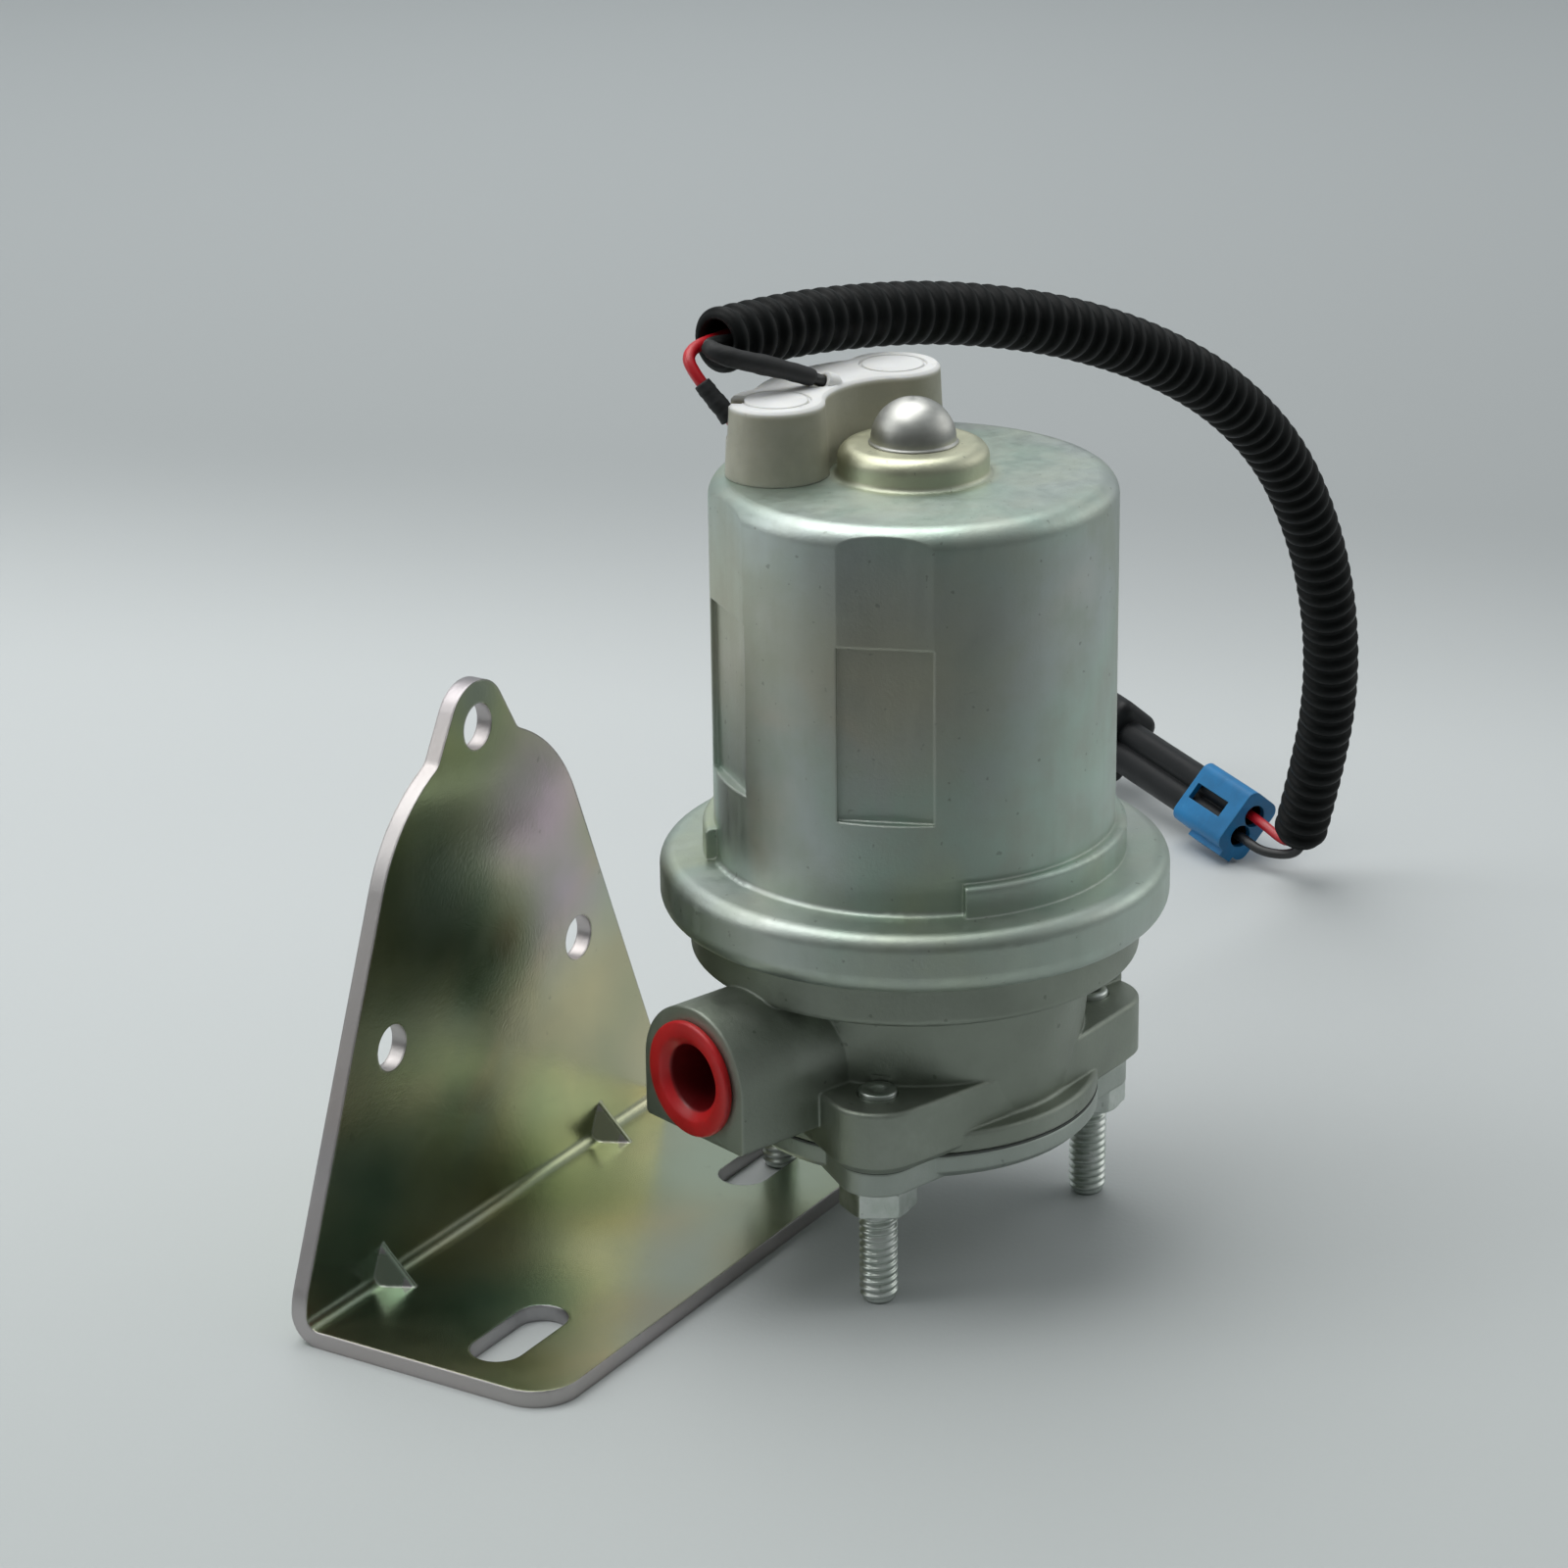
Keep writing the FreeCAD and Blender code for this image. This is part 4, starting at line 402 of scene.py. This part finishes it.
def bracket_zinc():
    """Yellow zinc: calm olive with slow green, gold and violet patches."""
    paint = Paint("bracket_zinc", 0.22, 1.0)
    patch = paint.noise(15, 2, 0.4, distortion=0.8)
    smear = paint.noise(48, 4, 0.6, distortion=0.4)
    grain = paint.noise(1500, 3, 0.6)
    edge, soft = paint.edges(0.0006)
    base = paint.ramp(patch, [
        (0.28, (0.30, 0.38, 0.25)),
        (0.42, (0.42, 0.45, 0.28)),
        (0.54, (0.52, 0.49, 0.32)),
        (0.70, (0.46, 0.50, 0.41)),
    ])
    for where, reach, strength, colour in BRACKET_PATCHES:
        base = paint.over(base, colour, paint.blob(where, reach), strength)
    base = paint.over(base, (0.38, 0.41, 0.30), paint.mask(smear, 0.35, 0.75), 0.35)
    specks = paint.mask(paint.noise(600, 2, 0.4), 0.72, 0.76)
    base = paint.over(base, (0.14, 0.15, 0.12), specks, 0.25)
    rim = paint.inverse(sheet_face(paint))
    base = paint.over(base, (0.46, 0.42, 0.45), rim, 0.8)
    paint.colour(paint.over(base, (0.62, 0.58, 0.60), edge, 0.45))
    paint.rough(paint.plus(paint.spread(smear, 0.17, 0.27), paint.times(rim, 0.14)))
    paint.bump(paint.plus(grain, smear), 0.00002, soft)
    return paint.material


def moulded(name, colour, rough, speck, depth=0.00003, coat=0.0, shine=0.5):
    """Moulded plastic: slow colour drift, fine texture, scuffed edges."""
    paint = Paint(name, rough)
    cloud = paint.noise(150, 4)
    grain = paint.noise(1800, 3, 0.6)
    edge, soft = paint.edges(0.0004)
    base = paint.drift(cloud, shade(colour, 0.82), shade(colour, 1.18))
    scuff = paint.mask(paint.noise(520, 4, 0.7), 0.64, 0.72)
    base = paint.over(base, speck, scuff, 0.25)
    paint.colour(paint.over(base, speck, edge, 0.35))
    paint.rough(paint.spread(cloud, rough - 0.06, rough + 0.1))
    paint.set(Coat_Weight=coat, Coat_Roughness=0.3, Specular_IOR_Level=shine)
    paint.bump(grain, depth, soft)
    return paint.material


def stud_zinc():
    """Zinc plate on the studs, with dark marks."""
    paint = Paint("stud_zinc", 0.34, 1.0)
    cloud = paint.noise(300, 4)
    grain = paint.noise(3000, 2)
    base = paint.drift(cloud, (0.50, 0.55, 0.50), (0.66, 0.69, 0.66))
    dark = paint.mask(paint.noise(900, 3), 0.62, 0.72)
    paint.colour(paint.over(base, (0.24, 0.27, 0.23), dark, 0.4))
    paint.rough(paint.spread(cloud, 0.28, 0.42))
    paint.bump(grain, 0.00001)
    return paint.material


def plug_red():
    """Red moulding, nearly black down the hollow where little light reaches."""
    paint = Paint("plug_red", 0.42)
    cloud = paint.noise(150, 4)
    grain = paint.noise(1800, 3, 0.6)
    edge, soft = paint.edges(0.0004)
    base = paint.drift(cloud, (0.46, 0.002, 0.005), (0.60, 0.004, 0.008))
    base = paint.over(base, (0.66, 0.05, 0.05), edge, 0.3)
    _, y, z = paint.axes()
    from_bore = paint.math("SQRT", paint.squares(y, paint.minus(z, PORT_HEIGHT)))
    hollow = paint.below(from_bore, *PLUG_HOLLOW)
    paint.colour(paint.over(base, (0.06, 0.0, 0.001), hollow, 0.85))
    paint.rough(paint.spread(cloud, 0.36, 0.52))
    paint.set(Coat_Weight=0.15, Coat_Roughness=0.3)
    paint.bump(grain, 0.00003, soft)
    return paint.material


MATERIALS = {
    "can_zinc": can_zinc(),
    "die_cast": die_cast("die_cast", (0.30, 0.33, 0.28), (0.39, 0.42, 0.37)),
    "cover_plate": die_cast("cover_plate", (0.42, 0.46, 0.42), (0.50, 0.54, 0.50)),
    "bright_steel": bright_steel(),
    "ivory_plastic": ivory_plastic(),
    "bracket_zinc": bracket_zinc(),
    "stud_zinc": stud_zinc(),
    "plug_red": plug_red(),
    "conduit_black": moulded(
        "conduit_black", (0.0025, 0.0035, 0.0035), 0.5, (0.008, 0.011, 0.011), shine=0.16),
    "wire_red": moulded(
        "wire_red", (0.50, 0.004, 0.012), 0.34, (0.75, 0.20, 0.22), coat=0.3),
    "wire_black": moulded(
        "wire_black", (0.008, 0.009, 0.009), 0.36, (0.04, 0.04, 0.04), coat=0.1),
    "sleeve_black": moulded(
        "sleeve_black", (0.014, 0.015, 0.016), 0.62, (0.05, 0.05, 0.05), depth=0.00006),
    "connector_black": moulded(
        "connector_black", (0.005, 0.006, 0.007), 0.42, (0.03, 0.03, 0.03), shine=0.3),
    "lock_blue": moulded(
        "lock_blue", (0.0, 0.15, 0.36), 0.42, (0.06, 0.32, 0.56), coat=0.05),
}


def finish_for(slot):
    if slot not in MATERIALS:
        MATERIALS[slot] = generic(slot)
    return MATERIALS[slot]


for name, part in frame["nodes"].items():
    part.data.materials.clear()
    part.data.materials.append(finish_for(SLOT_OF[name]))


# Shapes

CURVE_STEPS = 16
CURVE_ORDER = 3
BEVEL_STEPS = 6
TANGENT_STEP = 0.0008


def add_piece(name, data, slot, body="pump"):
    piece = bpy.data.objects.new(name, data)
    bpy.context.collection.objects.link(piece)
    data.materials.append(finish_for(slot))
    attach(piece, body)
    return piece


def mesh_from(name, vertices, faces, smooth=True):
    mesh = bpy.data.meshes.new(name)
    mesh.from_pydata(vertices, [], faces)
    mesh.validate()
    for polygon in mesh.polygons:
        polygon.use_smooth = smooth
    return mesh


def skin(name, rings, closed=False, smooth=True):
    """Skins rings of equally many points. Closed joins the last to the first, otherwise both get a cap."""
    count = len(rings[0])
    vertices = [point for ring in rings for point in ring]
    faces = []
    for k in range(len(rings) if closed else len(rings) - 1):
        here, there = k * count, ((k + 1) % len(rings)) * count
        for j in range(count):
            onward = (j + 1) % count
            faces.append((here + j, here + onward, there + onward, there + j))
    if not closed:
        faces.append(tuple(range(count - 1, -1, -1)))
        faces.append(tuple(range(len(vertices) - count, len(vertices))))
    return mesh_from(name, vertices, faces, smooth)


def angles(count):
    return [TURN * k / count for k in range(count)]


def spline_curve(name, points, radius=0.0):
    """A NURBS curve with the route's points as its control points."""
    curve = bpy.data.curves.new(name, "CURVE")
    curve.dimensions = "3D"
    curve.resolution_u = CURVE_STEPS
    spline = curve.splines.new("NURBS")
    spline.points.add(len(points) - 1)
    for point, place in zip(spline.points, points):
        point.co = (*place, 1.0)
    spline.order_u = CURVE_ORDER
    spline.use_endpoint_u = True
    curve.bevel_depth = radius
    curve.bevel_resolution = BEVEL_STEPS
    curve.use_fill_caps = True
    return curve


def spline_path(points):
    """The points of a route's own spline, in order."""
    curve = spline_curve("path", points)
    holder = bpy.data.objects.new("path", curve)
    mesh = bpy.data.meshes.new_from_object(holder)
    path = [vertex.co.copy() for vertex in mesh.vertices]
    bpy.data.objects.remove(holder)
    bpy.data.curves.remove(curve)
    bpy.data.meshes.remove(mesh)
    return path


class Path:
    """Points along a spline, read by distance."""

    def __init__(self, points):
        self.points = points
        self.marks = [0.0]
        for before, after in zip(points, points[1:]):
            self.marks.append(self.marks[-1] + (after - before).length)
        self.length = self.marks[-1]

    def at(self, distance):
        distance = min(max(distance, 0.0), self.length)
        k = 1
        while k < len(self.marks) - 1 and self.marks[k] < distance:
            k += 1
        share = (distance - self.marks[k - 1]) / (self.marks[k] - self.marks[k - 1])
        return self.points[k - 1].lerp(self.points[k], share)

    def ring(self, distance, radius, count):
        """A circle of points square to the path."""
        along = (self.at(distance + TANGENT_STEP) - self.at(distance - TANGENT_STEP)).normalized()
        side = along.cross(Vector((0, 1, 0))).normalized()
        up = side.cross(along)
        centre = self.at(distance)
        return [centre + (side * math.cos(angle) + up * math.sin(angle)) * radius for angle in angles(count)]

    def tube(self, name, profile, count):
        """A hollow skin along the path, from a closed profile of (distance, radius)."""
        return skin(name, [self.ring(distance, radius, count) for distance, radius in profile], closed=True)


# Wiring: the same points as the solids, in metres

CONDUIT_ROUTE = [
    (-0.0179, 0.0270, 0.1513),
    (-0.0042, 0.0288, 0.1508),
    (0.0135, 0.0304, 0.1492),
    (0.0317, 0.0309, 0.1467),
    (0.0492, 0.0300, 0.1429),
    (0.0676, 0.0299, 0.1373),
    (0.0872, 0.0307, 0.1291),
    (0.1059, 0.0314, 0.1183),
    (0.1231, 0.0333, 0.1038),
    (0.1361, 0.0364, 0.0868),
    (0.1459, 0.0401, 0.0686),
    (0.1531, 0.0448, 0.0498),
    (0.1584, 0.0517, 0.0304),
    (0.1622, 0.0602, 0.0099),
]
WIRE_SIDE = 0.0023
WIRE_END_SIDE = 0.0013


def inside_conduit(side):
    """Route points of the wire that lies along one side of the conduit's bore."""
    offsets = [WIRE_SIDE] * (len(CONDUIT_ROUTE) - 2) + [WIRE_END_SIDE]
    return [(x, y + side * offset, z) for (x, y, z), offset in zip(CONDUIT_ROUTE[1:], offsets)]


RED_ROUTE = [
    (-0.0202, 0.0178, 0.13375),
    (-0.0202, 0.0178, 0.1382),
    (-0.0250, 0.0236, 0.1470),
    (-0.0246, 0.0272, 0.1509),
    (-0.0130, 0.0299, 0.1511),
] + inside_conduit(1) + [
    (0.1628, 0.0636, 0.0064),
    (0.1634, 0.0730, 0.00956),
    (0.1651975, 0.0825819, 0.0105648),
]
BLACK_ROUTE = [
    (0.0068, 0.0186, 0.13375),
    (0.0068, 0.0186, 0.1370),
    (0.0008, 0.0176, 0.1412),
    (-0.0046, 0.0162, 0.1443),
    (-0.0126, 0.0176, 0.1476),
    (-0.0226, 0.0212, 0.1509),
    (-0.0220, 0.0254, 0.1521),
    (-0.0130, 0.0254, 0.1511),
] + inside_conduit(-1) + [
    (0.1627, 0.0613, 0.0049),
    (0.1606, 0.0686, 0.0040),
    (0.1603, 0.0735, 0.00574),
    (0.1621045, 0.0835374, 0.0067542),
]
RIBS = 75
RIB_SHAPE = [(0.0, 4.5), (0.08, 4.62), (0.15, 5.1), (0.22, 5.32), (0.40, 5.4),
             (0.58, 5.32), (0.65, 5.1), (0.72, 4.62), (0.80, 4.5)]
CONDUIT_ROOT = 4.5
CONDUIT_BORE = 3.6
CONDUIT_SIDES = 40
SLEEVE_BORE = 1.05
SLEEVE_STEPS = 28
SLEEVE_SIDES = 28
WIRE_RADIUS = 0.001


def conduit():
    path = Path(spline_path(CONDUIT_ROUTE))
    pitch = path.length / RIBS
    outside = [((rib + share) * pitch, radius * MM) for rib in range(RIBS) for share, radius in RIB_SHAPE]
    outside.append((path.length, CONDUIT_ROOT * MM))
    inside = [(path.length * k / RIBS, CONDUIT_BORE * MM) for k in range(RIBS, -1, -1)]
    mesh = path.tube("conduit_tube", outside + inside, CONDUIT_SIDES)
    piece = add_piece("conduit_tube", mesh, "conduit_black")
    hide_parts("conduit")


def sleeve(name, path, start, end, swell, node):
    """Shrunk sleeve: closes on the wire at both ends, with a slight waver between."""
    profile = []
    for k in range(SLEEVE_STEPS + 1):
        share = k / SLEEVE_STEPS
        waver = 1 + 0.03 * math.sin(17 * share) + 0.02 * math.sin(41 * share)
        profile.append((start + (end - start) * share, swell(share) * waver * MM))
    inner = [(distance, SLEEVE_BORE * MM) for distance, _ in reversed(profile)]
    piece = add_piece(name, path.tube(name, profile + inner, SLEEVE_SIDES), "sleeve_black")
    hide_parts(node)
    return piece


def front_swell(share):
    """The front sleeve's radius in mm, tapering to its end."""
    return 1.62 - 0.22 * share


def rear_swell(share):
    """The rear sleeve's radius in mm, thickest past its middle."""
    return 1.30 + 0.34 * math.sin(math.pi * min(1.0, 0.1 + 0.75 * share))


def lead(name, points, node):
    piece = add_piece(name, spline_curve(name, points, WIRE_RADIUS), node)
    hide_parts(node)


def wiring():
    conduit()
    red = Path(spline_path(RED_ROUTE))
    black = Path(spline_path(BLACK_ROUTE))
    red_sleeve = sleeve("lead_sleeve_front", red, 0.0073, 0.0146, front_swell, "sleeve_red")
    black_sleeve = sleeve("lead_sleeve_rear", black, 0.0188, 0.0380, rear_swell, "sleeve_black")
    lead("lead_red", RED_ROUTE, "wire_red")
    lead("lead_black", BLACK_ROUTE, "wire_black")


# Studs, in mm

STUD_PLACES = [(-3.267, 31.079), (28.548, -12.711), (-25.282, -18.368)]
STUD_SIDES = 40
STUD_RADIUS = 3.175
STUD_TOP = 37.55
THREAD_PITCH = 1.27
THREAD_ROOT = 2.70
THREAD_START = 0.5
THREAD_TOP = 15.6
THREAD_ROWS_PER_PITCH = 8
THREAD_FADE = 0.9
# Plain rings of (radius, height), below the thread and above it
STUD_TIP = [(0.05, 0.0), (THREAD_ROOT - 0.35, 0.0), (THREAD_ROOT, 0.45)]
STUD_SHANK = [
    (THREAD_ROOT + 0.1, THREAD_TOP + 0.3), (STUD_RADIUS, 16.6), (STUD_RADIUS, STUD_TOP - 0.5),
    (STUD_RADIUS - 0.15, STUD_TOP - 0.12), (STUD_RADIUS - 0.5, STUD_TOP), (1.75, STUD_TOP),
    (1.5, STUD_TOP - 0.25), (0.9, STUD_TOP - 0.75), (0.05, STUD_TOP - 0.85),
]
COLLAR_FLATS = 11.1
COLLAR_LOW, COLLAR_HIGH = 16.5, 21.1
COLLAR_TURN = math.radians(19)
COLLAR_SIDES = 96
COLLAR_CORNER_CUT = 0.08
# Heights of the collar and the largest radius at each
COLLAR_LIMITS = [
    (COLLAR_LOW, 5.3), (COLLAR_LOW + 0.55, 6.25), (COLLAR_LOW + 1.0, 9.0),
    (COLLAR_HIGH - 0.25, 9.0), (COLLAR_HIGH, 6.2),
]


def thread_rings():
    """A rolled thread as one skin, its ridge climbing one pitch a turn."""
    length = THREAD_TOP - THREAD_START
    rows = int(length / THREAD_PITCH * THREAD_ROWS_PER_PITCH)
    rings = []
    for row in range(rows + 1):
        z = THREAD_START + length * row / rows
        fade = max(0.0, min(1.0, (z - THREAD_START) / THREAD_FADE, (THREAD_TOP - z) / THREAD_FADE + 0.15))
        ring = []
        for k in range(STUD_SIDES):
            turn = k / STUD_SIDES
            ridge = 1 - abs(2 * ((z / THREAD_PITCH - turn) % 1.0) - 1)
            shape = min(1.0, max(0.0, 1.6 * ridge - 0.25))
            ring.append((THREAD_ROOT + (STUD_RADIUS - THREAD_ROOT) * shape * fade, TURN * turn, z))
        rings.append(ring)
    return rings


def plain_rings(outline):
    return [[(radius, angle, z) for angle in angles(STUD_SIDES)] for radius, z in outline]


def collar_rings():
    """A hexagon, its lower corners turned off at thirty degrees and its upper ones just eased."""
    corner = COLLAR_FLATS / math.sqrt(3) - COLLAR_CORNER_CUT
    rings = []
    for z, limit in COLLAR_LIMITS:
        ring = []
        for angle in angles(COLLAR_SIDES):
            flat = COLLAR_FLATS / 2 / math.cos((angle - COLLAR_TURN) % (math.pi / 3) - math.pi / 6)
            ring.append((min(flat, limit, corner), angle, z))
        rings.append(ring)
    return rings


def stud_piece(name, spot, rings, smooth):
    """Skins rings of (radius, angle, height) round one stud's axis."""
    x, y = spot
    placed = [
        [((x + radius * math.cos(angle)) * MM, (y + radius * math.sin(angle)) * MM, z * MM)
         for radius, angle, z in ring]
        for ring in rings
    ]
    piece = add_piece(name, skin(name, placed, smooth=smooth), "stud_zinc")
    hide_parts("mounting_studs")


def studs():
    rod = plain_rings(STUD_TIP) + thread_rings() + plain_rings(STUD_SHANK)
    collar = collar_rings()
    for k, spot in enumerate(STUD_PLACES):
        stud_piece(f"stud_{k + 1}", spot, rod, True)
        stud_piece(f"stud_collar_{k + 1}", spot, collar, False)


# Port plugs, in mm: (distance out from the port's face, radius)

PLUG_RIM = 1.2
PLUG_SIDES = 72
PLUG_PROFILE = [
    (-12.0, 0.05), (-12.0, 6.3), (-11.8, 6.7), (-11.3, 7.05), (0.0, 7.05), (0.0, 9.5), (0.12, 9.65),
    (0.35, 9.7), (0.85, 9.7), (1.08, 9.62), (PLUG_RIM, 9.4), (PLUG_RIM, 7.3), (1.14, 7.0), (0.25, 5.85),
    (0.0, 5.65), (-0.5, 5.5), (-10.2, 5.4), (-10.4, 5.3), (-10.5, 5.0), (-10.5, 0.05),
]


def port_plug(node, way):
    """A hollow shank with a dished rim that lies on the port's face."""
    part = frame["nodes"][node]
    corners = [part.matrix_world @ Vector(corner) for corner in part.bound_box]
    face = max(way * corner.x for corner in corners) - PLUG_RIM * MM
    rings = []
    for out, radius in PLUG_PROFILE:
        ring = []
        for angle in angles(PLUG_SIDES):
            across, up = radius * math.cos(way * angle) * MM, radius * math.sin(way * angle) * MM
            ring.append((way * (face + out * MM), across, PORT_HEIGHT + up))
        rings.append(ring)
    piece = add_piece(node + "_cap", skin(node + "_cap", rings), "plug_red", node)
    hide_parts(node)


# Stage, light and camera, in metres

AHEAD = Vector((0.657, 0.754, 0.0)).normalized()
ASIDE = Vector((AHEAD.y, -AHEAD.x, 0.0))
STAGE_REACH = 3.2
SWEEP_START = -0.17
SWEEP_TURN_START = 1.35
SWEEP_BEND = 0.9
SWEEP_RISE = math.radians(40)
SWEEP_STEPS = 12
TABLE_NEAR, TABLE_FAR = -2.2, -0.16
TABLE_DROP = 0.001
ROOM_BRIGHT_SIDE = (0.50, 0.55, 0.67)
ROOM_DIM = (0.25, (0.10, 0.105, 0.10))
ROOM_BRIGHT = (0.85, (0.44, 0.47, 0.48))
CAMERA_PLACE = (-0.4563, -0.4910, 0.3271)
CAMERA_AHEAD = (0.616, 0.7068, -0.3477)
CAMERA_UP = (0.2386, 0.2532, 0.9375)
CAMERA_LENS = 99.94
CAMERA_SENSOR = 36.0
CAMERA_FAR = 20.0
# Each lamp: its name, place, aim, size, power and colour
LAMPS = [
    ("overhead", (-0.05, 0.35, 1.25), (0.0, 0.0, 0.05), (1.4, 1.0), 12.5, (1.0, 1.0, 0.99)),
    ("left_rear", (-0.95, 0.75, 0.70), (0.0, 0.0, 0.08), (0.7, 0.8), 3.2, (0.98, 1.0, 1.0)),
    ("right_fill", (1.0, -0.40, 0.55), (0.0, 0.0, 0.06), (0.9, 0.6), 1.6, (1.0, 0.99, 0.97)),
]


def ground(name, outline, material):
    """A strip of floor that follows an outline of (distance ahead, height)."""
    vertices, faces = [], []
    for distance, height in outline:
        for across in (-STAGE_REACH, STAGE_REACH):
            place = AHEAD * distance + ASIDE * across
            vertices.append((place.x, place.y, height))
    for k in range(len(outline) - 1):
        faces.append((2 * k, 2 * k + 1, 2 * k + 3, 2 * k + 2))
    strip = bpy.data.objects.new(name, mesh_from(name, vertices, faces))
    bpy.context.collection.objects.link(strip)
    strip.data.materials.append(material)


def paper():
    """Pale paper with painted light: painted shade in front of the object and to its right, a greyer band of
    painted dim light past it, and painted brighter light far back.
    """
    paint = Paint("sweep_paper", 0.55)
    x, y, _ = paint.axes()
    ahead = paint.toward(x, y, AHEAD)
    aside = paint.toward(x, y, ASIDE)
    cloud = paint.noise(2.2, 2)
    drift = paint.times(paint.minus(cloud, 0.5), 0.12)
    slant = paint.plus(ahead, paint.times(aside, 0.33))
    past = paint.mask(paint.plus(slant, drift), 0.23, 0.46)
    near = paint.below(ahead, -0.16, 0.16)
    tone = paint.drift(cloud, (0.58, 0.605, 0.61), (0.61, 0.635, 0.64))
    # Painted shadow: the paper in front of the object is darkened as the object's soft shadow
    tone = paint.over(tone, (0.40, 0.43, 0.42), near, 0.5)
    # Painted dim light: a greyer band on the paper past the object
    tone = paint.mix(past, tone, (0.365, 0.385, 0.39))
    # Painted light: the paper turns paler again far back, standing in for the lamp's light there
    tone = paint.mix(paint.mask(ahead, 0.25, 1.15), tone, (0.54, 0.57, 0.58))
    # Painted shade: the paper darkens toward the right, where less of the light from the left reaches
    paint.colour(paint.over(tone, (0.22, 0.235, 0.245), paint.mask(aside, -0.1, 0.3), 0.16))
    paint.set(Specular_IOR_Level=0.3)
    paint.bump(paint.noise(900, 3, 0.6), 0.00004)
    return paint.material


def table():
    paint = Paint("dark_table", 0.5)
    paint.colour(paint.drift(paint.noise(3, 3), (0.10, 0.11, 0.11), (0.14, 0.15, 0.15)))
    return paint.material


def backdrop():
    """A paper sweep that turns up behind the object, on a darker table that starts nearer the viewer."""
    outline = [(SWEEP_START, 0.0), (SWEEP_TURN_START, 0.0)]
    for k in range(1, SWEEP_STEPS + 1):
        angle = SWEEP_RISE * k / SWEEP_STEPS
        ahead = SWEEP_TURN_START + SWEEP_BEND * math.sin(angle)
        outline.append((ahead, SWEEP_BEND * (1 - math.cos(angle))))
    ground("sweep", outline, paper())
    ground("table", [(TABLE_NEAR, -TABLE_DROP), (TABLE_FAR, -TABLE_DROP)], table())


def world():
    """Room light that is dim on the viewer's side and pale above and behind the object."""
    made = bpy.data.worlds.new("room")
    bpy.context.scene.world = made
    made.use_nodes = True
    tree = made.node_tree
    background = tree.nodes["Background"]
    coordinates = tree.nodes.new("ShaderNodeTexCoord")
    dot = tree.nodes.new("ShaderNodeVectorMath")
    dot.operation = "DOT_PRODUCT"
    dot.inputs[1].default_value = ROOM_BRIGHT_SIDE
    ramp = tree.nodes.new("ShaderNodeValToRGB")
    for element, (at, colour) in zip(ramp.color_ramp.elements, (ROOM_DIM, ROOM_BRIGHT)):
        element.position = at
        element.color = (*colour, 1.0)
    half = tree.nodes.new("ShaderNodeMath")
    half.operation = "MULTIPLY_ADD"
    half.inputs[1].default_value = 0.5
    half.inputs[2].default_value = 0.5
    tree.links.new(coordinates.outputs["Generated"], dot.inputs[0])
    tree.links.new(dot.outputs["Value"], half.inputs[0])
    tree.links.new(half.outputs[0], ramp.inputs["Fac"])
    tree.links.new(ramp.outputs["Color"], background.inputs["Color"])
    background.inputs["Strength"].default_value = 1.0


def softbox(name, place, aim, size, power, colour):
    data = bpy.data.lights.new(name, "AREA")
    data.shape = "RECTANGLE"
    data.size, data.size_y = size
    data.energy = power
    data.color = colour
    lamp = bpy.data.objects.new(name, data)
    bpy.context.collection.objects.link(lamp)
    lamp.location = place
    lamp.rotation_euler = (Vector(aim) - Vector(place)).to_track_quat("-Z", "Y").to_euler()


def camera():
    data = bpy.data.cameras.new("camera")
    data.lens = CAMERA_LENS
    data.sensor_width = CAMERA_SENSOR
    data.clip_end = CAMERA_FAR
    holder = bpy.data.objects.new("camera", data)
    bpy.context.collection.objects.link(holder)
    ahead = Vector(CAMERA_AHEAD).normalized()
    right = ahead.cross(Vector(CAMERA_UP)).normalized()
    up = right.cross(ahead)
    turn = Matrix((right, up, -ahead)).transposed().to_4x4()
    holder.matrix_world = Matrix.Translation(CAMERA_PLACE) @ turn
    bpy.context.scene.camera = holder


wiring()
studs()
port_plug("inlet_plug", -1)
port_plug("outlet_plug", 1)
backdrop()
world()
for lamp_settings in LAMPS:
    softbox(*lamp_settings)
camera()

bpy.context.scene.view_settings.view_transform = "Standard"
